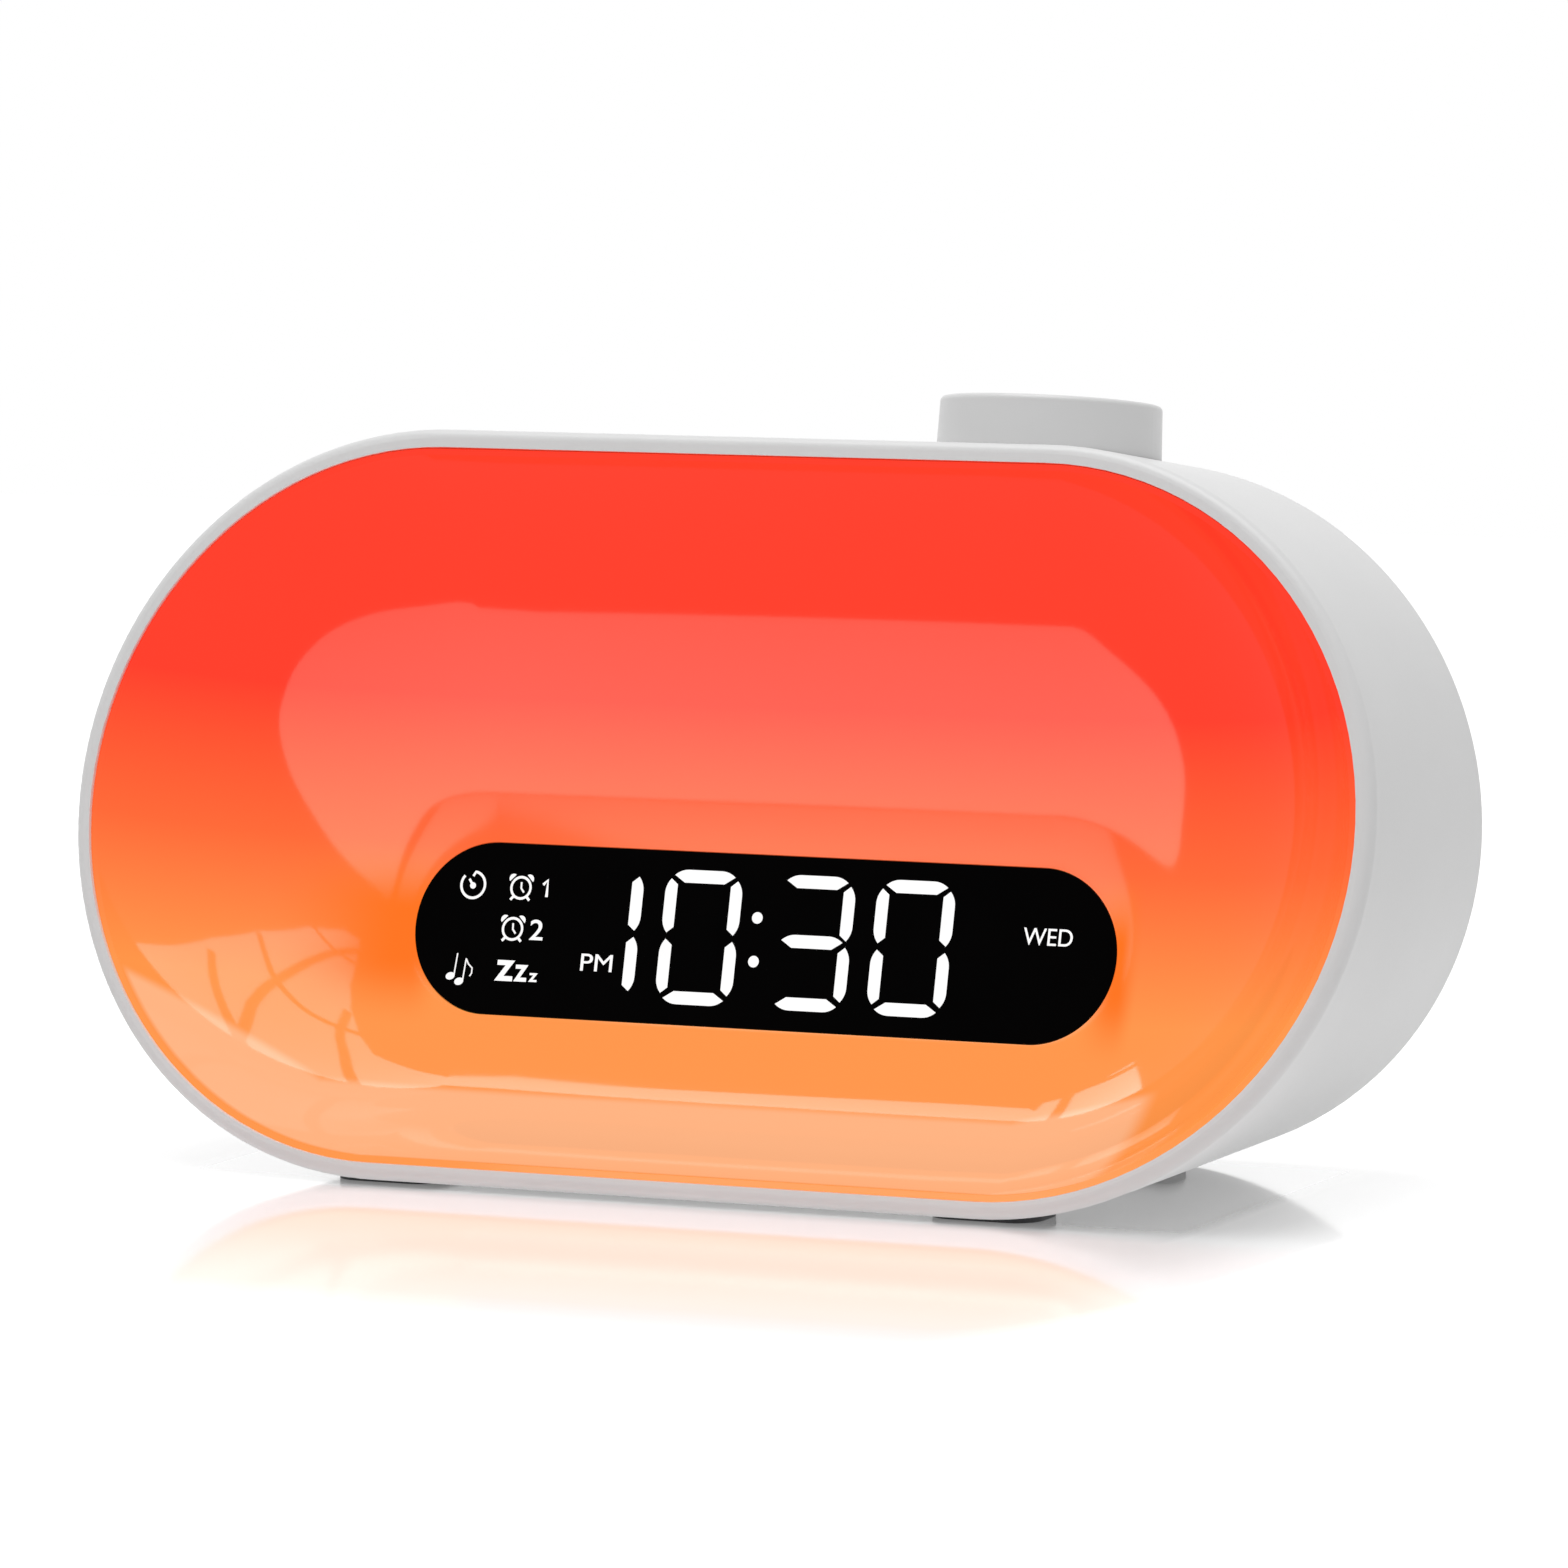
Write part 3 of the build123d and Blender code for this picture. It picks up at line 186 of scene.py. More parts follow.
def new_node(tree, kind, values):
    """A node with its inputs set or linked."""
    node = tree.nodes.new(kind)
    feed(tree, node, values)
    return node


def sums(tree):
    """Gives a function that adds one math node and returns its result."""
    def add(operation, *values):
        node = tree.nodes.new("ShaderNodeMath")
        node.operation = operation
        for socket, value in zip(node.inputs, values):
            connect(tree, socket, value)
        return node.outputs[0]
    return add


def map_range(tree, value, source, target=(0.0, 1.0), smooth=False):
    """Carries a value from one range to another, with a soft bend at both ends if smooth."""
    node = new_node(tree, "ShaderNodeMapRange", {
        "Value": value, "From Min": source[0], "From Max": source[1],
        "To Min": target[0], "To Max": target[1]})
    node.interpolation_type = "SMOOTHSTEP" if smooth else "LINEAR"
    return node.outputs[0]


def own_place(tree):
    """The object's own coordinates."""
    return tree.nodes.new("ShaderNodeTexCoord").outputs["Object"]


def split_place(tree, place):
    """The three numbers of a place."""
    return new_node(tree, "ShaderNodeSeparateXYZ", {0: place}).outputs


def colour_ramp(tree, value, stops):
    """Colours by value, from the place and colour of each stop."""
    node = new_node(tree, "ShaderNodeValToRGB", {"Fac": value})
    made = node.color_ramp.elements
    while len(made) < len(stops):
        made.new(0.5)
    for stop, (place, colour) in zip(made, stops):
        stop.position = place
        stop.color = colour
    return node


def new_finish(name):
    """A material with its tree and its main shader."""
    material = bpy.data.materials.new(name)
    material.use_nodes = True
    tree = material.node_tree
    return material, tree, tree.nodes["Principled BSDF"]


def noise(tree, scale, detail=2.0):
    """Noise on the object's own coordinates."""
    return new_node(tree, "ShaderNodeTexNoise", {
        "Scale": scale, "Detail": detail, "Vector": own_place(tree)}).outputs[0]


def spread(tree, value, low=0.0, high=1.0):
    """Stretches the middle of a noise to run from low to high."""
    noise_middle = (0.3, 0.7)
    return map_range(tree, value, noise_middle, (low, high))


def blend_colours(tree, factor, first, second):
    """Mixes two colours by a factor."""
    node = tree.nodes.new("ShaderNodeMix")
    node.data_type = "RGBA"
    feed(tree, node, {0: factor, 6: first, 7: second})
    return node.outputs[2]


def add_bump(tree, shader, height, strength, distance):
    """Roughens a finish by a height."""
    bump = new_node(tree, "ShaderNodeBump", {"Strength": strength, "Distance": distance, "Height": height})
    tree.links.new(bump.outputs["Normal"], shader.inputs["Normal"])


def shade(colour, amount=1.0):
    """A colour made darker or lighter, with its alpha."""
    return tuple(min(1.0, channel * amount) for channel in colour[:3]) + (1.0,)


def moulded(name, colour, rough, grain=2600, depth=0.004 * MM):
    """Moulded plastic or rubber: fine spark grain, faint flow marks in its colour."""
    material, tree, shader = new_finish(name)
    flow = spread(tree, noise(tree, scale=28, detail=3.0))
    fine = noise(tree, grain, detail=3.0)
    feed(tree, shader, {
        "Base Color": blend_colours(tree, flow, shade(colour, 0.98), shade(colour, 1.02)),
        "Roughness": spread(tree, fine, rough - 0.05, rough + 0.05)})
    add_bump(tree, shader, fine, strength=0.25, distance=depth)
    return material


def metal(name, colour, rough):
    """Bare or plated metal with a fine grain and a little staining."""
    material, tree, shader = new_finish(name)
    stain = spread(tree, noise(tree, scale=160, detail=3.0))
    grain = noise(tree, scale=900, detail=3.0)
    feed(tree, shader, {
        "Base Color": blend_colours(tree, stain, shade(colour, 0.86), shade(colour, 1.04)),
        "Metallic": 1.0, "Roughness": spread(tree, grain, rough - 0.08, rough + 0.1)})
    add_bump(tree, shader, grain, strength=0.2, distance=0.01 * MM)
    return material


def board_lacquer(name, colour):
    """Green lacquer over copper tracks on a circuit board."""
    material, tree, shader = new_finish(name)
    tracks = new_node(tree, "ShaderNodeTexVoronoi", {"Scale": 260, "Vector": own_place(tree)})
    tracks.distance = "MANHATTAN"
    tracks.feature = "F2"
    stops = [(0.0, shade(colour)), (0.82, shade(colour, 1.7))]
    ramp = colour_ramp(tree, tracks.outputs["Distance"], stops)
    ramp.color_ramp.interpolation = "CONSTANT"
    feed(tree, shader, {
        "Base Color": ramp.outputs["Color"], "Roughness": spread(tree, noise(tree, scale=1400), 0.24, 0.36)})
    add_bump(tree, shader, tracks.outputs["Distance"], strength=0.15, distance=0.02 * MM)
    return material


def face_place(tree):
    """Millimetres right of, above and behind the face's centre."""
    add = sums(tree)
    place = own_place(tree)
    lengths = []
    for way in (FACE_RIGHT, FACE_UP, -FACE_OUT):
        along = new_node(tree, "ShaderNodeVectorMath", {0: place, 1: way})
        along.operation = "DOT_PRODUCT"
        from_centre = add("SUBTRACT", along.outputs["Value"], FACE_CENTRE.dot(way))
        lengths.append(add("DIVIDE", from_centre, MM))
    return lengths


def painted_skylight_reflection(tree, across, level, behind):
    """Where the bowl has a painted reflection of the skylight, paler: below a line that rises at both ends,
    and not far right.
    """
    add = sums(tree)
    left_start, left_slope = PAINTED_REFLECTION_LINE_LEFT
    right_start, right_slope = PAINTED_REFLECTION_LINE_RIGHT
    left_rise = add("MULTIPLY", add("MAXIMUM", add("SUBTRACT", left_start, across), 0), left_slope)
    right_rise = add("MULTIPLY", add("MAXIMUM", add("SUBTRACT", across, right_start), 0), right_slope)
    line = add("ADD", add("ADD", left_rise, right_rise), PAINTED_REFLECTION_LINE)
    below = map_range(tree, add("SUBTRACT", line, level), (0, PAINTED_REFLECTION_LINE_SOFT), smooth=True)
    before_stop = map_range(tree, across, PAINTED_REFLECTION_STOP, smooth=True)
    inside = map_range(tree, behind, PAINTED_REFLECTION_BEHIND)
    return add("MULTIPLY", add("MULTIPLY", below, before_stop), inside)


def end_painted_shade(tree, across, level):
    """Painted shade, where the bowl is a deeper orange: beside the window's ends."""
    add = sums(tree)
    sides = []
    past_left = add("SUBTRACT", -END_PLACE, across)
    past_right = add("SUBTRACT", across, END_PLACE)
    for past, fade in ((past_left, END_LEFT), (past_right, END_RIGHT)):
        outside = map_range(tree, past, END_INSIDE, smooth=True)
        sides.append(add("MULTIPLY", map_range(tree, past, fade, smooth=True), outside))
    off_level = add("ABSOLUTE", add("SUBTRACT", level, END_LEVEL))
    return add("MULTIPLY", add("MAXIMUM", *sides), map_range(tree, off_level, END_OFF_LEVEL, smooth=True))


def dish_glow(settings):
    """Glossy diffuser lit from behind, red at the top and amber below, with painted reflection and painted
    shade.
    """
    material, tree, shader = new_finish("dish_glow_skin")
    across, level, behind = face_place(tree)
    stops = [(0.0, shade(settings.low_colour)), (0.5, shade(settings.middle_colour)),
             (1.0, shade(settings.top_colour))]
    plain = colour_ramp(tree, map_range(tree, level, GLOW_LEVELS), stops).outputs["Color"]
    # Painted shade: a deeper orange beside the window's ends
    deep = end_painted_shade(tree, across, level)
    lit = blend_colours(tree, deep, plain, shade(settings.painted_shade_colour))
    # Painted reflection: paler low in the bowl, where the bowl itself hides the skylight's mirror image
    pale = painted_skylight_reflection(tree, across, level, behind)
    add = sums(tree)
    # The gloss is a coat over the glow, and fades out beside the window's ends
    feed(tree, shader, {
        "Emission Color": blend_colours(tree, pale, lit, shade(settings.painted_reflection_colour)),
        "Emission Strength": settings.glow,
        "Base Color": blend_colours(tree, 0.88, plain, (0.02, 0.01, 0.01, 1.0)),
        "Roughness": spread(tree, noise(tree, scale=240), 0.5, 0.6), "Specular IOR Level": 0.0,
        "Coat Weight": add("SUBTRACT", 1.0, add("MULTIPLY", deep, deep)),
        "Coat IOR": 1.2, "Coat Roughness": 0.06})
    return material


def window_black():
    """Smoked black plastic over the display."""
    material, tree, shader = new_finish("window_black_gloss")
    haze = noise(tree, scale=90, detail=3.0)
    feed(tree, shader, {
        "Base Color": blend_colours(tree, haze, (0.0006, 0.0006, 0.0007, 1), (0.0016, 0.0015, 0.0015, 1)),
        "Specular IOR Level": 0.008, "Roughness": spread(tree, haze, 0.1, 0.2)})
    return material


def lit_marks(settings):
    """White light of the digits, a touch softer in patches."""
    material, tree, shader = new_finish("led_white_light")
    patch = spread(tree, noise(tree, scale=400, detail=1.0))
    glow = blend_colours(tree, patch, shade(settings.mark_colour, 0.97), shade(settings.mark_colour, 1.04))
    feed(tree, shader, {
        "Emission Color": glow, "Emission Strength": 1.0, "Base Color": (0.05, 0.05, 0.05, 1),
        "Roughness": spread(tree, patch, 0.4, 0.5)})
    return material


def dress(finish, *names):
    """Gives CAD nodes a finish."""
    for name in names:
        mesh = NODES[name].data
        mesh.materials.clear()
        mesh.materials.append(finish)


# Object and Geometry Nodes helpers

def show(name, data):
    """An object in the scene."""
    made = bpy.data.objects.new(name, data)
    bpy.context.scene.collection.objects.link(made)
    return made


def plain_mesh(piece):
    """An object's shape as it is seen, as a plain mesh."""
    seen = piece.evaluated_get(bpy.context.evaluated_depsgraph_get())
    return bpy.data.meshes.new_from_object(seen)


def new_tree(name, inputs):
    """A geometry tree with named inputs, its input node and its output node."""
    tree = bpy.data.node_groups.new(name, "GeometryNodeTree")
    tree.interface.new_socket("Geometry", in_out="INPUT", socket_type="NodeSocketGeometry")
    for label, kind in inputs:
        tree.interface.new_socket(label, in_out="INPUT", socket_type=kind)
    tree.interface.new_socket("Geometry", in_out="OUTPUT", socket_type="NodeSocketGeometry")
    tree.is_modifier = True
    return tree, tree.nodes.new("NodeGroupInput"), tree.nodes.new("NodeGroupOutput")


def close_tree(tree, geometry, origin, finish, end):
    """Sets a flat shape on the leaning face and ends its tree in Realize Instances and Set Material."""
    lean = new_node(tree, "GeometryNodeTransform", {
        "Geometry": geometry, "Translation": origin, "Rotation": (FACE_TILT, 0, 0)})
    real = new_node(tree, "GeometryNodeRealizeInstances", {"Geometry": lean.outputs["Geometry"]})
    paint = new_node(tree, "GeometryNodeSetMaterial", {
        "Geometry": real.outputs["Geometry"], "Material": finish})
    tree.links.new(paint.outputs["Geometry"], end.inputs["Geometry"])


def bake(name, tree, values, mesh=None):
    """Runs a tree on a mesh and returns an object that holds the plain result."""
    piece = show(name, mesh or bpy.data.meshes.new(name))
    shape = piece.modifiers.new("shape", "NODES")
    shape.node_group = tree
    for item in tree.interface.items_tree:
        if item.in_out == "INPUT" and item.name in values:
            shape[item.identifier] = values[item.name]
    plain = plain_mesh(piece)
    piece.modifiers.remove(shape)
    piece.data = plain
    plain.name = name
    return piece


# How sharply the bowl's points go over from one round end to the other, and what counts as one point
RUN_PULL = 40
WELD = 0.002 * MM
# Edges sharper than this stay crisp, as at the lip
LIP_ANGLE = radians(25)


def dish_tree():
    """The bowl's rule: each ring is a long slot, and its size follows the cosine of the wall's turn."""
    sizes = ["Rim half length", "Floor half length", "Rim radius", "Floor radius", "Drop", "Set back",
             "Depth", "Edge turn", "Lip"]
    inputs = [(name, "NodeSocketFloat") for name in sizes]
    inputs += [("Around", "NodeSocketInt"), ("Rings", "NodeSocketInt"), ("Finish", "NodeSocketMaterial")]
    tree, start, end = new_tree("dish_rule", inputs)
    given = start.outputs
    add = sums(tree)
    grid = new_node(tree, "GeometryNodeMeshGrid", {
        "Size X": 1.0, "Size Y": 1.0,
        "Vertices X": add("ADD", given["Around"], 1), "Vertices Y": add("ADD", given["Rings"], 1)})
    spot = split_place(tree, tree.nodes.new("GeometryNodeInputPosition").outputs[0])
    angle = add("MULTIPLY", add("ADD", spot[0], 0.5), 2 * pi)
    row = add("MULTIPLY", add("ADD", spot[1], 0.5), given["Rings"])
    on_lip = add("LESS_THAN", row, 0.5)
    inner_row = add("MAXIMUM", add("SUBTRACT", row, 1), 0)
    along = add("DIVIDE", inner_row, add("SUBTRACT", given["Rings"], 1))
    turn = add("ADD", given["Edge turn"], add("MULTIPLY", along, add("SUBTRACT", pi / 2, given["Edge turn"])))
    edge_sine = add("SINE", given["Edge turn"])
    deep = add("DIVIDE", add("SUBTRACT", add("SINE", turn), edge_sine), add("SUBTRACT", 1, edge_sine))
    share = add("DIVIDE", add("COSINE", turn), add("COSINE", given["Edge turn"]))
    half_step = add("SUBTRACT", given["Rim half length"], given["Floor half length"])
    half = add("MULTIPLY_ADD", half_step, share, given["Floor half length"])
    radius_step = add("SUBTRACT", given["Rim radius"], given["Floor radius"])
    radius = add("MULTIPLY_ADD", radius_step, share, given["Floor radius"])
    radius = add("MULTIPLY_ADD", given["Lip"], on_lip, radius)
    drop = add("MULTIPLY", given["Drop"], add("SUBTRACT", 1, share))
    run = add("MAXIMUM", add("MINIMUM", add("MULTIPLY", add("COSINE", angle), RUN_PULL), 1), -1)
    across = add("MULTIPLY_ADD", radius, add("COSINE", angle), add("MULTIPLY", half, run))
    height = add("SUBTRACT", add("MULTIPLY", radius, add("SINE", angle)), drop)
    depth = add("MULTIPLY_ADD", add("SUBTRACT", given["Depth"], given["Set back"]), deep, given["Set back"])
    point = new_node(tree, "ShaderNodeCombineXYZ", {0: across, 1: height, 2: add("MULTIPLY", depth, -1)})
    move = new_node(tree, "GeometryNodeSetPosition", {
        "Geometry": grid.outputs["Mesh"], "Position": point.outputs[0]})
    weld = new_node(tree, "GeometryNodeMergeByDistance", {
        "Geometry": move.outputs["Geometry"], "Distance": WELD})
    smooth = new_node(tree, "GeometryNodeSetShadeSmooth", {"Geometry": weld.outputs["Geometry"]})
    close_tree(tree, smooth.outputs["Geometry"], FACE_CENTRE, given["Finish"], end)
    return tree


def segment_tree():
    """Sets one segment on every point of the display, turned by the point's own angle."""
    tree, start, end = new_tree("lit_segments", [
        ("Segment", "NodeSocketObject"), ("Finish", "NodeSocketMaterial")])
    given = start.outputs
    shape = new_node(tree, "GeometryNodeObjectInfo", {"Object": given["Segment"]})
    turn = new_node(tree, "GeometryNodeInputNamedAttribute", {"Name": "turn"})
    spin = new_node(tree, "ShaderNodeCombineXYZ", {2: turn.outputs["Attribute"]})
    copies = new_node(tree, "GeometryNodeInstanceOnPoints", {
        "Points": given["Geometry"], "Instance": shape.outputs["Geometry"], "Rotation": spin.outputs[0]})
    close_tree(tree, copies.outputs["Instances"], WINDOW_FRONT, given["Finish"], end)
    return tree


# Display marks, in millimetres right of and above the window's middle
DIGIT_MIDDLES = {"hours tens": -23.1, "hours": -8.75, "minutes tens": 7.5, "minutes": 21.7}
LEVELS = {"top": 8.1, "middle": 0.3, "bottom": -7.85}
UPRIGHTS = {"upper": 4.17, "lower": -3.77}
LIT = {
    "hours tens": ["upper right", "lower right"],
    "hours": ["top", "bottom", "upper left", "lower left", "upper right", "lower right"],
    "minutes tens": ["top", "middle", "bottom", "upper right", "lower right"],
    "minutes": ["top", "bottom", "upper left", "lower left", "upper right", "lower right"],
}
COLON_DOTS = [(-0.65, 3.10), (-0.56, -2.61)]
COLON_RADIUS = 0.76
NUMBER_ONE = [(-32.25, 6.05), (-31.62, 6.68), (-31.62, 4.45)]
ALARM_PLACES = [(-35.5, 5.5), (-36.1, 0.03)]
TIMER_PLACE = (-42.6, 5.6)
NOTES_PLACE = (-43.2, -5.6)
# How far a segment's tips are cut back on its inner and its outer side
LEVEL_CUTS = (1.5, 2.0)
UPRIGHT_CUTS = (0.75, 1.9)
# Its outer corners: height of the tip by the width, pull of the bend by the cut, and lines in each
SEGMENT_TIP = 0.06
SEGMENT_PULL = 0.45
SEGMENT_STEPS = 5
DISC_STEPS = 24
# Widths of the signs' lines
NUMBER_LINE = 0.42
THICK_LINE = 0.36
PLAIN_LINE = 0.34
HAND_LINE = 0.26
NOTE_LINE = 0.2
# Words and numbers with the box that each fills, left, right, low and high, and how much bolder it is
WORDS = [
    ("PM", -25.55, -20.95, -4.98, -2.74, 0.0),
    ("WED", 37.30, 44.20, 1.40, 3.60, 0.0),
    ("2", -33.50, -31.55, -1.30, 1.40, 0.008),
    ("Z", -38.00, -35.20, -6.89, -4.14, 0.05),
    ("Z", -35.17, -33.19, -6.86, -4.65, 0.05),
    ("Z", -32.97, -31.69, -6.82, -5.66, 0.05),
]


def segment_piece(length, width, inner_cut, outer_cut, height):
    """One flat segment: cut straight to its tips on the inner side, rounded on the outer side."""
    half = length / 2
    tip = Vector((half, SEGMENT_TIP * width))
    bend = Vector((half - SEGMENT_PULL * outer_cut, width / 2))
    top = Vector((half - outer_cut, width / 2))
    arc = []
    for step in range(SEGMENT_STEPS + 1):
        share = step / SEGMENT_STEPS
        arc.append(tuple(tip.lerp(bend, share).lerp(bend.lerp(top, share), share)))
    outline = [(-half + inner_cut, -width / 2), (half - inner_cut, -width / 2)] + arc
    outline += [(-x, y) for x, y in reversed(arc)]
    return bpy.data.objects.new("segment", prism_mesh("segment", outline, height))


def prism_mesh(name, outline, height):
    """A closed flat piece on the window from its outline."""
    mesh = bmesh.new()
    low = [mesh.verts.new((x, y, 0)) for x, y in outline]
    high = [mesh.verts.new((x, y, height)) for x, y in outline]
    mesh.faces.new(high)
    mesh.faces.new(list(reversed(low)))
    for index in range(len(outline)):
        after = (index + 1) % len(outline)
        mesh.faces.new((low[index], low[after], high[after], high[index]))
    made = bpy.data.meshes.new(name)
    mesh.to_mesh(made)
    mesh.free()
    return made


def points_mesh(name, points):
    """Bare points with an angle each."""
    mesh = bpy.data.meshes.new(name)
    mesh.from_pydata([(x * MM, y * MM, 0) for x, y, turn in points], [], [])
    turns = mesh.attributes.new("turn", "FLOAT", "POINT")
    turns.data.foreach_set("value", [turn for x, y, turn in points])
    return mesh


def lit_points(settings):
    """Places and turns of the lit segments, level ones first."""
    level = []
    upright = []
    half = settings.digit_half / MM
    for digit, parts in LIT.items():
        middle = DIGIT_MIDDLES[digit]
        for part in parts:
            if part in LEVELS:
                level.append((middle, LEVELS[part], pi if part == "bottom" else 0.0))
                continue
            rise, side = part.split()
            sign = 1 if side == "right" else -1
            upright.append((middle + sign * half, UPRIGHTS[rise], -sign * pi / 2))
    return level, upright


def curve_mesh(curve):
    """The plain mesh of a curve."""
    drawer = show("drawer", curve)
    mesh = plain_mesh(drawer)
    bpy.data.objects.remove(drawer)
    return mesh


def word_mesh(word, left, right, low, high, bolder, height):
    """A word as a flat mesh that fills its box on the window."""
    reach = 0.5
    curve = bpy.data.curves.new("word", "FONT")
    curve.body = word
    curve.size = 1.0
    curve.offset = bolder
    curve.extrude = reach
    mesh = curve_mesh(curve)
    spots = [vertex.co.copy() for vertex in mesh.vertices]
    xs = [spot.x for spot in spots]
    ys = [spot.y for spot in spots]
    wide = (right - left) * MM / (max(xs) - min(xs))
    tall = (high - low) * MM / (max(ys) - min(ys))
    for vertex, spot in zip(mesh.vertices, spots):
        x = left * MM + (spot.x - min(xs)) * wide
        y = low * MM + (spot.y - min(ys)) * tall
        vertex.co = (x, y, (spot.z + reach) * height)
    return mesh


def stroke_mesh(points, width, height, closed=False):
    """A thin line of light along points on the window."""
    curve = bpy.data.curves.new("stroke", "CURVE")
    curve.dimensions = "3D"
    half_width = width * MM / 2
    curve.bevel_depth = half_width
    curve.bevel_resolution = 2
    curve.use_fill_caps = True
    line = curve.splines.new("POLY")
    line.points.add(len(points) - 1)
    for spot, (x, y) in zip(line.points, points):
        spot.co = (x * MM, y * MM, 0, 1)
    line.use_cyclic_u = closed
    mesh = curve_mesh(curve)
    for vertex in mesh.vertices:
        vertex.co.z *= height / half_width
    return mesh


def arc_points(x, y, radius, first, last, steps):
    """Points on an arc, with its angles in degrees."""
    angles = [radians(first + (last - first) * step / steps) for step in range(steps + 1)]
    return [(x + radius * cos(angle), y + radius * sin(angle)) for angle in angles]


def disc_mesh(x, y, height, wide, tall, turn=0):
    """A flat oval of light."""
    outline = []
    for step in range(DISC_STEPS):
        angle = 2 * pi * step / DISC_STEPS
        over = wide * cos(angle)
        rise = tall * sin(angle)
        outline.append(((x + over * cos(turn) - rise * sin(turn)) * MM,
                        (y + over * sin(turn) + rise * cos(turn)) * MM))
    return prism_mesh("disc", outline, height)


def alarm_sign(x, y, height):
    """A small bell clock: ring, hands, two bells and two legs."""
    ring = arc_points(x, y, radius=1.42, first=0, last=345, steps=23)
    hands = [(x + 0.02, y + 0.75), (x + 0.05, y - 0.05), (x + 0.5, y - 0.6)]
    meshes = [stroke_mesh(ring, PLAIN_LINE, height, closed=True), stroke_mesh(hands, HAND_LINE, height)]
    for side in (-1, 1):
        leg = [(x + side * 0.95, y - 1.15), (x + side * 1.4, y - 1.62)]
        meshes.append(stroke_mesh(leg, THICK_LINE, height))
        facing = 90 - side * 45
        bell = arc_points(x + side * 1.18, y + 1.2, 0.62, facing - 80, facing + 80, steps=8)
        meshes.append(prism_mesh("bell", [(over * MM, up * MM) for over, up in bell], height))
    return meshes


def timer_sign(x, y, height):
    """An open ring with a pointer inside."""
    ring = [(x - 0.1, y + 1.15)] + arc_points(x, y, radius=1.75, first=82, last=-222, steps=30)
    pointer = [(x, y - 0.1), (x - 0.62, y + 0.75)]
    hub = disc_mesh(x, y - 0.1, height, wide=0.42, tall=0.42)
    return [stroke_mesh(ring, THICK_LINE, height), hub, stroke_mesh(pointer, PLAIN_LINE, height)]


def notes_sign(x, y, height):
    """Two small music notes."""
    meshes = []
    for over, rise in ((-1.35, 0.1), (0.0, -0.55)):
        meshes.append(disc_mesh(x + over, y + rise - 1.1, height, wide=0.66, tall=0.48, turn=radians(18)))
        stem = [(x + over + 0.52, y + rise - 1.0), (x + over + 0.75, y + rise + 1.95)]
        meshes.append(stroke_mesh(stem, NOTE_LINE, height))
    tail = [(0.75, 1.4), (1.15, 0.7), (1.75, 0.2), (1.75, -0.5), (1.5, -0.9)]
    meshes.append(stroke_mesh([(x + over, y + rise) for over, rise in tail], NOTE_LINE, height))
    return meshes


def join_meshes(name, meshes, matrix, finish):
    """One object from several meshes, moved to its place."""
    whole = bmesh.new()
    for mesh in meshes:
        whole.from_mesh(mesh)
        bpy.data.meshes.remove(mesh)
    bmesh.ops.transform(whole, matrix=matrix, verts=whole.verts)
    bmesh.ops.recalc_face_normals(whole, faces=whole.faces)
    made = bpy.data.meshes.new(name)
    whole.to_mesh(made)
    whole.free()
    made.materials.append(finish)
    return show(name, made)


# Operators, one for each group of pieces

class CLOCK_OT_shell(bpy.types.Operator):
    """Give the housing, rear cover and cover screws their finishes"""
    bl_idname = "clock.shell"
    bl_label = "Shell"

    def execute(self, context):
        finish = context.scene.clock_finish
        dress(moulded("shell_white_satin", finish.shell, 0.36), "housing")
        dress(moulded("cover_white_satin", finish.shell, 0.42, depth=0.008 * MM), "rear_cover")
        dress(metal("screw_zinc", (0.55, 0.55, 0.57), 0.3), "cover_screws")
        return {"FINISHED"}


class CLOCK_OT_dish(bpy.types.Operator):
    """Make the glowing bowl of the front"""
    bl_idname = "clock.dish"
    bl_label = "Dish"

    def execute(self, context):
        sizes = context.scene.clock_dish
        dish = bake("dish", dish_tree(), {
            "Rim half length": sizes.rim_half, "Floor half length": sizes.floor_half,
            "Rim radius": sizes.rim_radius, "Floor radius": sizes.floor_radius,
            "Drop": WINDOW_DROP, "Set back": sizes.set_back, "Depth": DISH_DEPTH,
            "Edge turn": sizes.edge_turn, "Lip": sizes.lip, "Around": sizes.around,
            "Rings": sizes.rings, "Finish": dish_glow(sizes)})
        facing = sum(face.normal.dot(FACE_OUT) for face in dish.data.polygons)
        if facing < 0:
            dish.data.flip_normals()
        wall = dish.modifiers.new("wall", "SOLIDIFY")
        wall.thickness = sizes.wall
        wall.offset = -1.0
        crisp = dish.modifiers.new("lip", "EDGE_SPLIT")
        crisp.split_angle = LIP_ANGLE
        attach(dish, "base")
        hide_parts("front_diffuser")
        return {"FINISHED"}


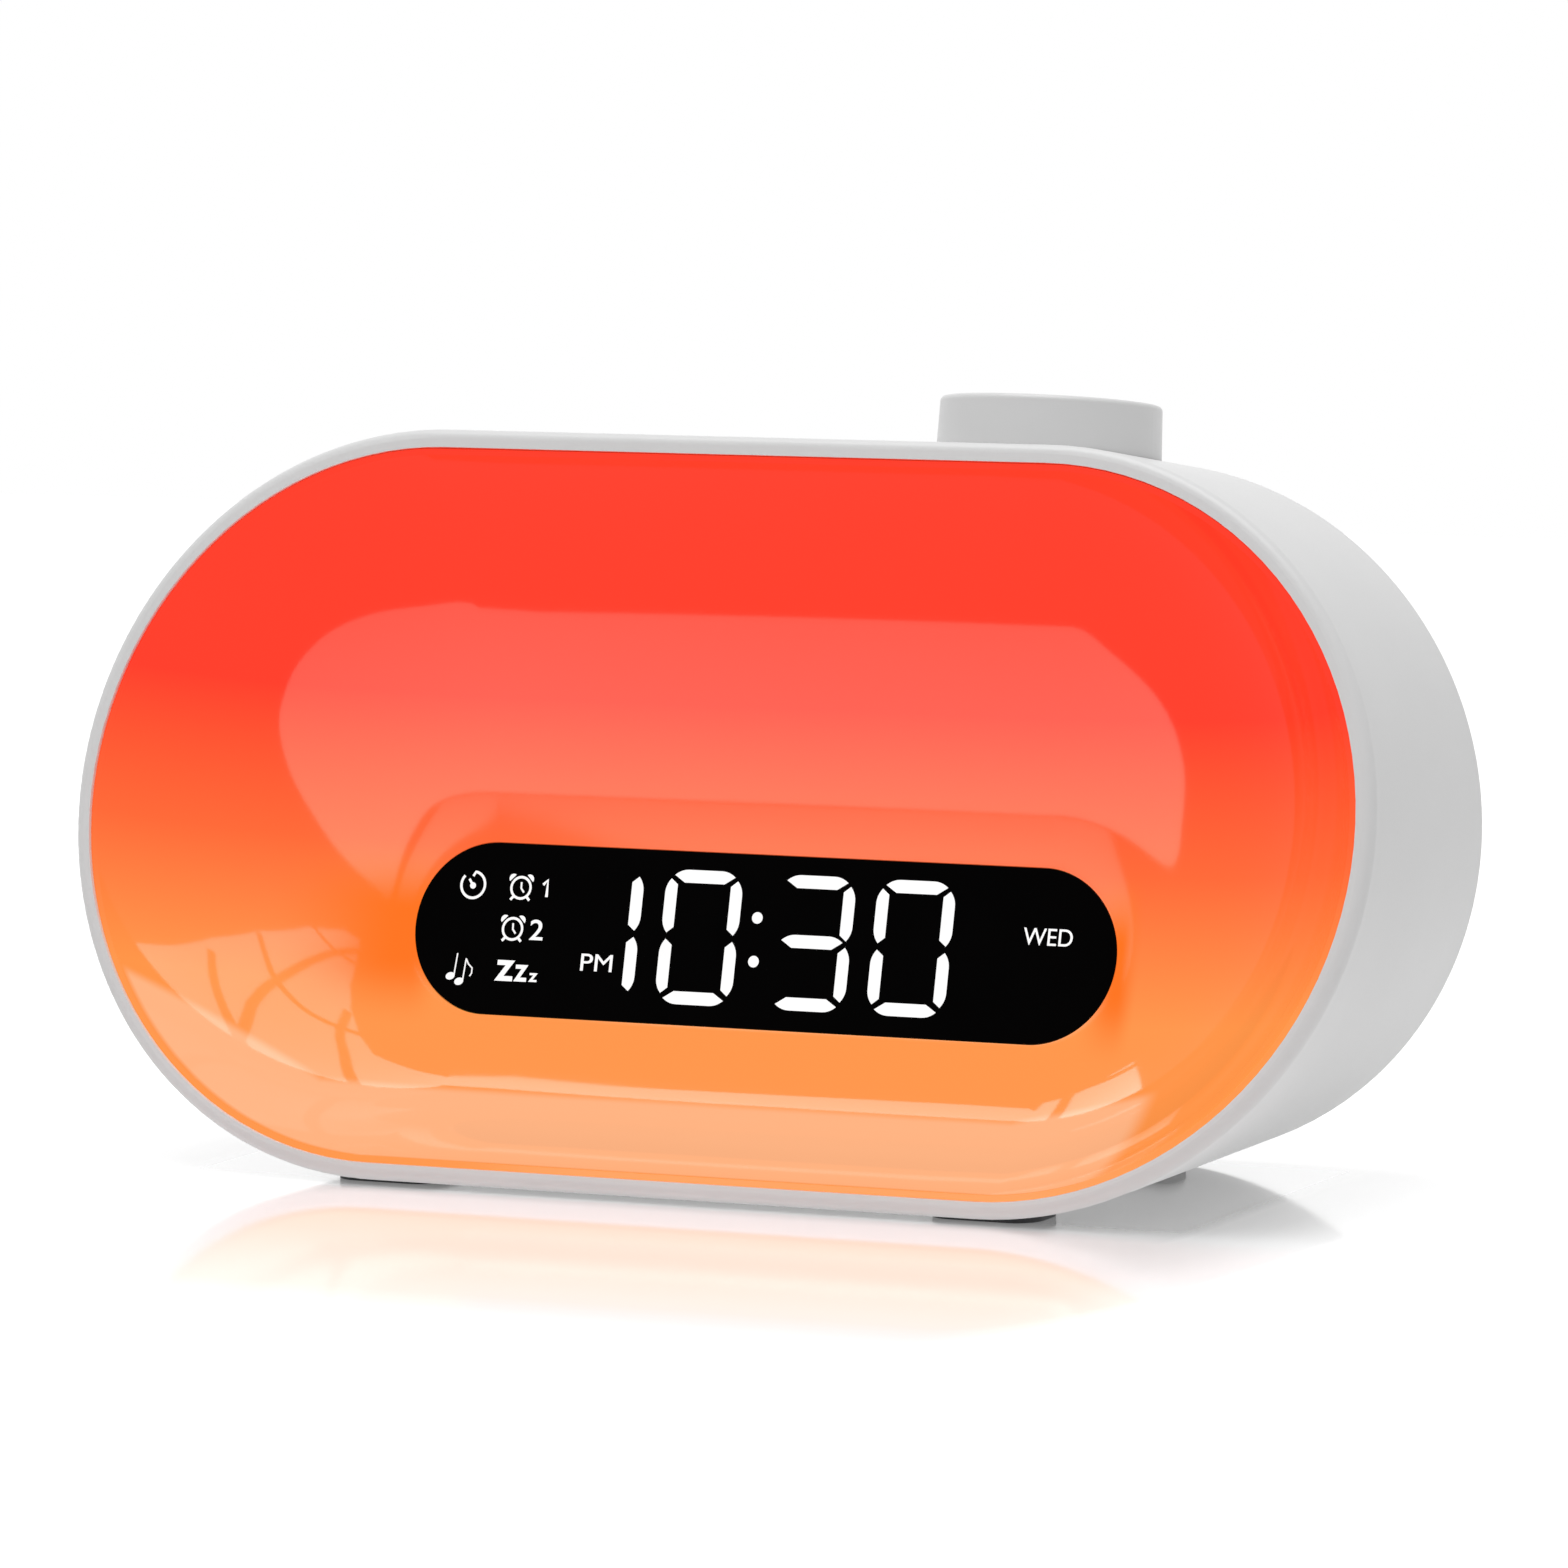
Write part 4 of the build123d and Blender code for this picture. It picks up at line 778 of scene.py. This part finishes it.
class CLOCK_OT_display(bpy.types.Operator):
    """Make the display window and its lit marks"""
    bl_idname = "clock.display"
    bl_label = "Display"

    def execute(self, context):
        sizes = context.scene.clock_display
        dress(window_black(), "display_window")
        light = lit_marks(sizes)
        tree = segment_tree()
        level, upright = lit_points(sizes)
        height = sizes.mark_height
        kinds = {"level_segments": (level, sizes.level_length, LEVEL_CUTS),
                 "upright_segments": (upright, sizes.upright_length, UPRIGHT_CUTS)}
        for name, (points, length, cuts) in kinds.items():
            shape = segment_piece(length, sizes.segment_width, cuts[0] * MM, cuts[1] * MM, height)
            bars = bake(name, tree, {"Segment": shape, "Finish": light}, points_mesh(name, points))
            bpy.data.objects.remove(shape)
            bars.visible_glossy = False
            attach(bars, "base")
        marks = [disc_mesh(x, y, height, COLON_RADIUS, COLON_RADIUS) for x, y in COLON_DOTS]
        marks += [word_mesh(*word, height) for word in WORDS]
        marks.append(stroke_mesh(NUMBER_ONE, NUMBER_LINE, height))
        for place in ALARM_PLACES:
            marks += alarm_sign(*place, height)
        marks += timer_sign(*TIMER_PLACE, height) + notes_sign(*NOTES_PLACE, height)
        on_window = place_matrix(WINDOW_FRONT, FACE_RIGHT, FACE_UP)
        signs = join_meshes("display_signs", marks, on_window, light)
        signs.visible_glossy = False
        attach(signs, "base")
        return {"FINISHED"}


class CLOCK_OT_knob(bpy.types.Operator):
    """Finish the knob and the encoder under it"""
    bl_idname = "clock.knob"
    bl_label = "Knob"

    def execute(self, context):
        finish = context.scene.clock_finish
        dress(moulded("knob_white_satin", finish.knob, 0.34), "knob_cap")
        dress(metal("shaft_steel", (0.6, 0.6, 0.6), 0.28), "encoder_shaft", "encoder_body")
        dress(moulded("plunger_black_nylon", (0.015, 0.015, 0.016), 0.5), "encoder_plunger")
        return {"FINISHED"}


class CLOCK_OT_back(bpy.types.Operator):
    """Finish the buttons, inlet and battery door on the back"""
    bl_idname = "clock.back"
    bl_label = "Back"

    def execute(self, context):
        finish = context.scene.clock_finish
        grey = moulded("button_grey_satin", finish.button, 0.45)
        dress(grey, "time_button", "alarm_button", "sound_button", "timer_button")
        dress(moulded("door_white_satin", finish.shell, 0.42), "battery_door")
        dress(moulded("inlet_black_plastic", (0.02, 0.02, 0.021), 0.4), "dc_inlet")
        dress(metal("contact_brass_plated", (0.72, 0.58, 0.33), 0.25), "inlet_pin", "cell_contact")
        return {"FINISHED"}


class CLOCK_OT_feet(bpy.types.Operator):
    """Finish the rubber feet"""
    bl_idname = "clock.feet"
    bl_label = "Feet"

    def execute(self, context):
        colour = context.scene.clock_finish.rubber
        rubber = moulded("foot_rubber_dark", colour, 0.7, grain=1500, depth=0.02 * MM)
        dress(rubber, "foot_front_left", "foot_front_right", "foot_rear_left", "foot_rear_right")
        return {"FINISHED"}


class CLOCK_OT_electronics(bpy.types.Operator):
    """Finish the boards, chips, cable and cell inside"""
    bl_idname = "clock.electronics"
    bl_label = "Electronics"

    def execute(self, context):
        board = board_lacquer("board_green_lacquer", context.scene.clock_finish.board)
        dress(board, "front_board", "main_board", "encoder_board")
        steel = metal("screw_steel_plain", (0.5, 0.5, 0.52), 0.3)
        dress(steel, "front_board_screws", "main_board_screws", "encoder_screws", "speaker_screws")
        dress(moulded("shade_black_plastic", (0.012, 0.012, 0.013), 0.6), "display_shade", "cell_holder")
        dress(moulded("led_white_body", (0.85, 0.83, 0.72), 0.4), "display_leds", "light_leds")
        dress(moulded("chip_black_epoxy", (0.02, 0.02, 0.022), 0.55), "main_chips", "tact_switches")
        dress(moulded("socket_white_nylon", (0.75, 0.73, 0.66), 0.45), "ribbon_sockets", "speaker_plug")
        dress(moulded("ribbon_white_film", (0.78, 0.78, 0.76), 0.35), "ribbon_cable")
        dress(metal("cell_steel_can", (0.62, 0.62, 0.63), 0.22), "coin_cell")
        return {"FINISHED"}


class CLOCK_OT_speaker(bpy.types.Operator):
    """Finish the speaker behind the slots"""
    bl_idname = "clock.speaker"
    bl_label = "Speaker"

    def execute(self, context):
        dress(metal("basket_steel_grey", (0.3, 0.3, 0.31), 0.4), "speaker_basket", "speaker_pole")
        dress(moulded("magnet_grey_ferrite", (0.06, 0.06, 0.065), 0.6), "speaker_magnet")
        paper = moulded("cone_black_paper", (0.018, 0.018, 0.019), 0.8, grain=900, depth=0.03 * MM)
        dress(paper, "speaker_cone")
        rubber = moulded("surround_black_rubber", (0.02, 0.02, 0.02), 0.65)
        dress(rubber, "speaker_surround", "speaker_gasket")
        dress(moulded("lead_red_vinyl", (0.5, 0.02, 0.015), 0.4), "speaker_leads")
        return {"FINISHED"}


class CLOCK_OT_stage(bpy.types.Operator):
    """Set up the floor, the world, the lamp, the cards and the camera"""
    bl_idname = "clock.stage"
    bl_label = "Stage"

    def execute(self, context):
        settings = context.scene.clock_stage
        make_floor(settings)
        make_world(settings)
        dish = bpy.data.objects["dish"]
        make_lamp(settings, dish)
        make_cards(dish)
        make_camera()
        context.scene.view_settings.view_transform = "Standard"
        return {"FINISHED"}


# Floor and the lamp overhead
FLOOR_REACH = 0.9
KEY_SIZE = (1.4, 1.0)
KEY_PLACE = Vector((-0.08, -0.1, 1.5))
KEY_AIM = Vector((0, 0, 0.05))
WHITE = (1, 1, 1, 1)

# Mirror in the floor: half of the area where it is strongest, how far it reaches past that, how much sooner
# it ends to the sides, and its strength by share of the reach
MIRROR_HALF = (0.070, 0.026)
MIRROR_REACH = 0.104
MIRROR_NARROW = 4.0
MIRROR_FADE = [(0.0, 0.75), (0.10, 0.6), (0.36, 0.53), (0.54, 0.45), (0.72, 0.37), (1.0, 0.0)]

# Cards that only the bowl mirrors: their distance, and the lines in each bend of an edge
CARD_AWAY = 3.0
CURVE_STEPS = 6
# Soft box in front, with a dimmer strip over it: brightness from low to high, colour, and the outlines in
# degrees towards the right and degrees up
SOFT_BOX_LEVELS = (6.6, 12.6)
SOFT_STRIP_LEVELS = (6.0, 9.0)
SOFT_TINT = (1.0, 0.98, 0.85, 1.0)
SOFT_BOX_EDGE = [
    (16, -4.7), (14.6, -10.7), (11, -16.2), (3.7, -21), (-6, -23.2), (-18, -23.4), (-28.5, -23.3),
    (-34.5, -17.9), (-42.3, -9.7), (-44.6, -2), (-43, 5.5), (-40, 11), (-30, 11.4), (-23.5, 11.9),
    (-22, 15), (-22, 18.6), (-18.4, 18.7), (-8, 17.1), (0.5, 13.8), (8.7, 8), (13.6, 2.2),
]
SOFT_STRIP_EDGE = [(-29.4, 11.7), (-29.4, 20), (-24, 20), (-24, 11.9)]
# Skylight: brightness at the two ends of a span from left to right, then its outline and the width and run
# of each bar, on a level sheet one length above the bowl
SKYLIGHT_LEVELS = (16.5, 12.0)
SKYLIGHT_SPAN = (-1.2, 0.3)
SKYLIGHT_EDGE = [
    (-2.3, 3.0), (-1.35, 0.8), (-1.22, 0.1), (-1.23, -0.56), (-1.04, -0.5), (-0.81, -0.35), (-0.57, -0.24),
    (-0.52, -0.11), (-0.46, -0.16), (-0.28, -0.26), (-0.12, -0.35), (-0.04, -0.55), (0.0, -0.85),
    (-0.04, -1.2), (-0.16, -1.56), (-0.34, -2.0), (-0.13, -1.97), (0.30, -1.64), (0.69, -1.09),
    (0.89, -0.59), (0.96, -0.19), (1.1, 0.3), (1.6, 3.0),
]
SKYLIGHT_BARS = [
    (0.06, [(0.82, -0.45), (0.63, -0.18), (0.34, 0.11), (0.15, 0.28), (-0.16, 0.45), (-0.47, 0.62),
            (-0.9, 0.92)]),
    (0.05, [(0.68, -1.07), (0.55, -0.84), (0.43, -0.66), (0.21, -0.53), (-0.06, -0.56)]),
    (0.06, [(-0.28, -1.83), (0.04, -1.52), (0.29, -1.11), (0.43, -0.66), (0.45, -0.35), (0.38, -0.05),
            (0.05, 0.95)]),
    (0.05, [(0.23, -1.7), (0.05, -1.57), (-0.17, -1.57)]),
    (0.05, [(0.02, -0.8), (0.05, -0.49), (-0.01, -0.23), (-0.12, 0.05), (-0.44, 0.54)]),
    (0.07, [(-1.25, -0.48), (-0.80, -0.40), (-0.73, -0.32), (-0.66, -0.09), (-0.52, 0.48), (-0.56, 0.68),
            (-0.7, 1.1)]),
    (0.06, [(-1.28, 0.70), (-1.06, 0.67), (-0.85, 0.58), (-0.66, 0.51), (-0.50, 0.56)]),
]


def seen_directly(tree):
    """1 for camera, mirror and glass rays, which see the plain white background."""
    path = tree.nodes.new("ShaderNodeLightPath")
    add = sums(tree)
    mirror = add("MAXIMUM", path.outputs["Is Camera Ray"], path.outputs["Is Glossy Ray"])
    return add("MAXIMUM", mirror, path.outputs["Is Transmission Ray"])


def floor_mirror(tree):
    """How much the floor mirrors: most at the clock's feet, fading out a hand's width away."""
    place = split_place(tree, own_place(tree))
    add = sums(tree)
    over = add("MAXIMUM", add("SUBTRACT", add("ABSOLUTE", place[0]), MIRROR_HALF[0]), 0)
    ahead = add("MAXIMUM", add("SUBTRACT", add("ABSOLUTE", place[1]), MIRROR_HALF[1]), 0)
    over = add("MULTIPLY", over, MIRROR_NARROW)
    away = add("POWER", add("ADD", add("POWER", over, 2), add("POWER", ahead, 2)), 0.5)
    stops = [(share, (level, level, level, 1)) for share, level in MIRROR_FADE]
    ramp = colour_ramp(tree, add("DIVIDE", away, MIRROR_REACH), stops)
    return add("MULTIPLY", ramp.outputs["Color"], seen_directly(tree))


def make_floor(settings):
    """A wide pale floor that keeps the clock's shadow and a faint mirror of it."""
    mesh = bpy.data.meshes.new("floor")
    corners = [(-1, -1), (1, -1), (1, 1), (-1, 1)]
    mesh.from_pydata([(x * FLOOR_REACH, y * FLOOR_REACH, 0) for x, y in corners], [], [(0, 1, 2, 3)])
    floor = show("floor", mesh)
    material, tree, shader = new_finish("floor_white")
    feed(tree, shader, {
        "Base Color": shade(settings.floor), "Roughness": 0.9, "Specular IOR Level": 0.0,
        "Emission Color": WHITE,
        "Emission Strength": sums(tree)("MULTIPLY", seen_directly(tree), settings.lift)})
    mirror = new_node(tree, "ShaderNodeBsdfGlossy", {"Color": WHITE, "Roughness": 0.08})
    both = new_node(tree, "ShaderNodeMixShader", {
        0: floor_mirror(tree), 1: shader.outputs[0], 2: mirror.outputs[0]})
    tree.links.new(both.outputs[0], tree.nodes["Material Output"].inputs["Surface"])
    floor.data.materials.append(material)
    floor.visible_glossy = False


def make_world(settings):
    """Even light from all round, white where it is seen directly."""
    world = bpy.data.worlds.new("studio")
    world.use_nodes = True
    tree = world.node_tree
    level = sums(tree)("MULTIPLY_ADD", seen_directly(tree), 1 - settings.ambient, settings.ambient)
    feed(tree, tree.nodes["Background"], {"Color": WHITE, "Strength": level})
    bpy.context.scene.world = world


def link_set(name, objects, state="INCLUDE"):
    """A set of objects that a light reaches or spares."""
    chosen = bpy.data.collections.new(name)
    for member in objects:
        chosen.objects.link(member)
    for entry in chosen.collection_objects:
        entry.light_linking.link_state = state
    return chosen


def make_lamp(settings, dish):
    """A broad soft lamp overhead that spares the bowl, which has cards of its own."""
    lamp = bpy.data.lights.new("key_lamp", "AREA")
    lamp.shape = "RECTANGLE"
    lamp.size, lamp.size_y = KEY_SIZE
    lamp.energy = settings.key_power
    key = show("key_lamp", lamp)
    key.location = KEY_PLACE
    key.rotation_euler = (KEY_AIM - KEY_PLACE).to_track_quat("-Z", "Y").to_euler()
    key.light_linking.receiver_collection = link_set("all_but_bowl", [dish], "EXCLUDE")


def card_light(name, axis, span, levels, tint=WHITE):
    """Light of a card, from one level to another along an axis of the scene. The card itself is clear."""
    material = bpy.data.materials.new(name)
    material.use_nodes = True
    tree = material.node_tree
    tree.nodes.clear()
    along = split_place(tree, own_place(tree))[axis]
    strength = map_range(tree, along, span, levels)
    light = new_node(tree, "ShaderNodeEmission", {"Color": tint, "Strength": strength})
    clear = tree.nodes.new("ShaderNodeBsdfTransparent")
    both = new_node(tree, "ShaderNodeAddShader", {0: light.outputs[0], 1: clear.outputs[0]})
    new_node(tree, "ShaderNodeOutputMaterial", {"Surface": both.outputs[0]})
    return material


def soft_run(points, closed=False):
    """A smooth run through points, with CURVE_STEPS short lines from each to the next."""
    count = len(points)
    spots = [Vector((x, y, 0)) for x, y in points]
    run = []
    for step in range(count if closed else count - 1):
        picks = [step - 1, step, step + 1, step + 2]
        picks = [pick % count if closed else min(max(pick, 0), count - 1) for pick in picks]
        before, first, last, after = [spots[pick] for pick in picks]
        # Each end is pulled by a sixth of the way between its neighbours
        first_pull = first + (last - before) / 6
        last_pull = last - (after - first) / 6
        run += interpolate_bezier(first, first_pull, last_pull, last, CURVE_STEPS + 1)[:-1]
    if not closed:
        run.append(spots[-1])
    return [(spot.x, spot.y) for spot in run]


def bar_corners(points, width):
    """Corners of a strip along points, anticlockwise."""
    left = []
    right = []
    for index, point in enumerate(points):
        before = Vector(points[max(index - 1, 0)])
        after = Vector(points[min(index + 1, len(points) - 1)])
        way = (after - before).normalized()
        side = Vector((-way.y, way.x)) * width / 2
        left.append(Vector(point) + side)
        right.append(Vector(point) - side)
    return right + left[::-1]


def skylight_mesh():
    """The skylight's sheet cut into panes by its bars."""
    outlines = [SKYLIGHT_EDGE] + [bar_corners(soft_run(points), width) for width, points in SKYLIGHT_BARS]
    spots = []
    faces = []
    for outline in outlines:
        faces.append(list(range(len(spots), len(spots) + len(outline))))
        spots += [Vector(point) for point in outline]
    only_inside = 1
    nearest = 0.00001
    places, _, pieces, _, _, sources = delaunay_2d_cdt(spots, [], faces, only_inside, nearest)
    # A pane comes from the edge's outline alone and from no bar's
    panes = [piece for piece, source in zip(pieces, sources) if list(source) == [0]]
    mesh = bpy.data.meshes.new("skylight")
    mesh.from_pydata([FACE_CENTRE + Vector((x, y, 1)) * CARD_AWAY for x, y in places], [], panes)
    return mesh


def box_mesh(name, edge):
    """A card in front of the bowl, from the turn and rise of each corner."""
    corners = []
    for turn, rise in edge:
        turn = radians(turn)
        rise = radians(rise)
        way = Vector((sin(turn) * cos(rise), -cos(turn) * cos(rise), sin(rise)))
        corners.append(FACE_CENTRE + way * CARD_AWAY)
    middle = sum(corners, Vector()) / len(corners)
    middle = FACE_CENTRE + (middle - FACE_CENTRE).normalized() * CARD_AWAY
    count = len(corners)
    mesh = bpy.data.meshes.new(name)
    mesh.from_pydata(corners + [middle], [], [(count, step, (step + 1) % count) for step in range(count)])
    return mesh


def make_cards(dish):
    """A soft box with a dimmer strip over it and a barred skylight, which only the bowl mirrors."""
    box = box_mesh("soft_box", soft_run(SOFT_BOX_EDGE, closed=True))
    strip = box_mesh("soft_strip", SOFT_STRIP_EDGE)
    for mesh, levels in ((box, SOFT_BOX_LEVELS), (strip, SOFT_STRIP_LEVELS)):
        heights = [corner.co.z for corner in mesh.vertices]
        span = (min(heights), max(heights))
        mesh.materials.append(card_light(mesh.name + "_light", "Z", span, levels, SOFT_TINT))
    sky = skylight_mesh()
    span = [x * CARD_AWAY for x in SKYLIGHT_SPAN]
    sky.materials.append(card_light("skylight_light", "X", span, SKYLIGHT_LEVELS))
    only_bowl = link_set("only_bowl", [dish])
    for mesh in (box, strip, sky):
        sheet = show(mesh.name, mesh)
        for sight in ("visible_camera", "visible_diffuse", "visible_transmission", "visible_shadow"):
            setattr(sheet, sight, False)
        sheet.light_linking.receiver_collection = only_bowl


def make_camera():
    """The camera of the product shot."""
    lens = bpy.data.cameras.new("camera")
    lens.lens = CAMERA_LENS
    lens.sensor_width = CAMERA_SENSOR
    lens.clip_start, lens.clip_end = CAMERA_CLIP
    camera = show("camera", lens)
    camera.matrix_world = place_matrix(CAMERA_PLACE, CAMERA_RIGHT, CAMERA_UP)
    bpy.context.scene.camera = camera


class CLOCK_PT_panel(bpy.types.Panel):
    """Lists the steps that dress the clock"""
    bl_idname = "CLOCK_PT_panel"
    bl_label = "Sound machine clock"
    bl_space_type = "VIEW_3D"
    bl_region_type = "UI"
    bl_category = "Clock"

    def draw(self, context):
        scene = context.scene
        for group in (scene.clock_dish, scene.clock_display, scene.clock_finish, scene.clock_stage):
            box = self.layout.box()
            for name in group.__annotations__:
                box.prop(group, name)
        for step in STEPS:
            self.layout.operator(step.bl_idname)


SETTINGS = {
    "clock_dish": DishSettings,
    "clock_display": DisplaySettings,
    "clock_finish": FinishSettings,
    "clock_stage": StageSettings,
}
STEPS = (
    CLOCK_OT_shell, CLOCK_OT_dish, CLOCK_OT_display, CLOCK_OT_knob, CLOCK_OT_back,
    CLOCK_OT_feet, CLOCK_OT_electronics, CLOCK_OT_speaker, CLOCK_OT_stage,
)


def register():
    for name, group in SETTINGS.items():
        bpy.utils.register_class(group)
        setattr(bpy.types.Scene, name, PointerProperty(type=group))
    for step in STEPS:
        bpy.utils.register_class(step)
    bpy.utils.register_class(CLOCK_PT_panel)


def unregister():
    bpy.utils.unregister_class(CLOCK_PT_panel)
    for step in reversed(STEPS):
        bpy.utils.unregister_class(step)
    for name, group in SETTINGS.items():
        delattr(bpy.types.Scene, name)
        bpy.utils.unregister_class(group)


def main():
    register()
    bpy.ops.clock.shell()
    bpy.ops.clock.dish()
    bpy.ops.clock.display()
    bpy.ops.clock.knob()
    bpy.ops.clock.back()
    bpy.ops.clock.feet()
    bpy.ops.clock.electronics()
    bpy.ops.clock.speaker()
    bpy.ops.clock.stage()


if __name__ == "__main__":
    main()
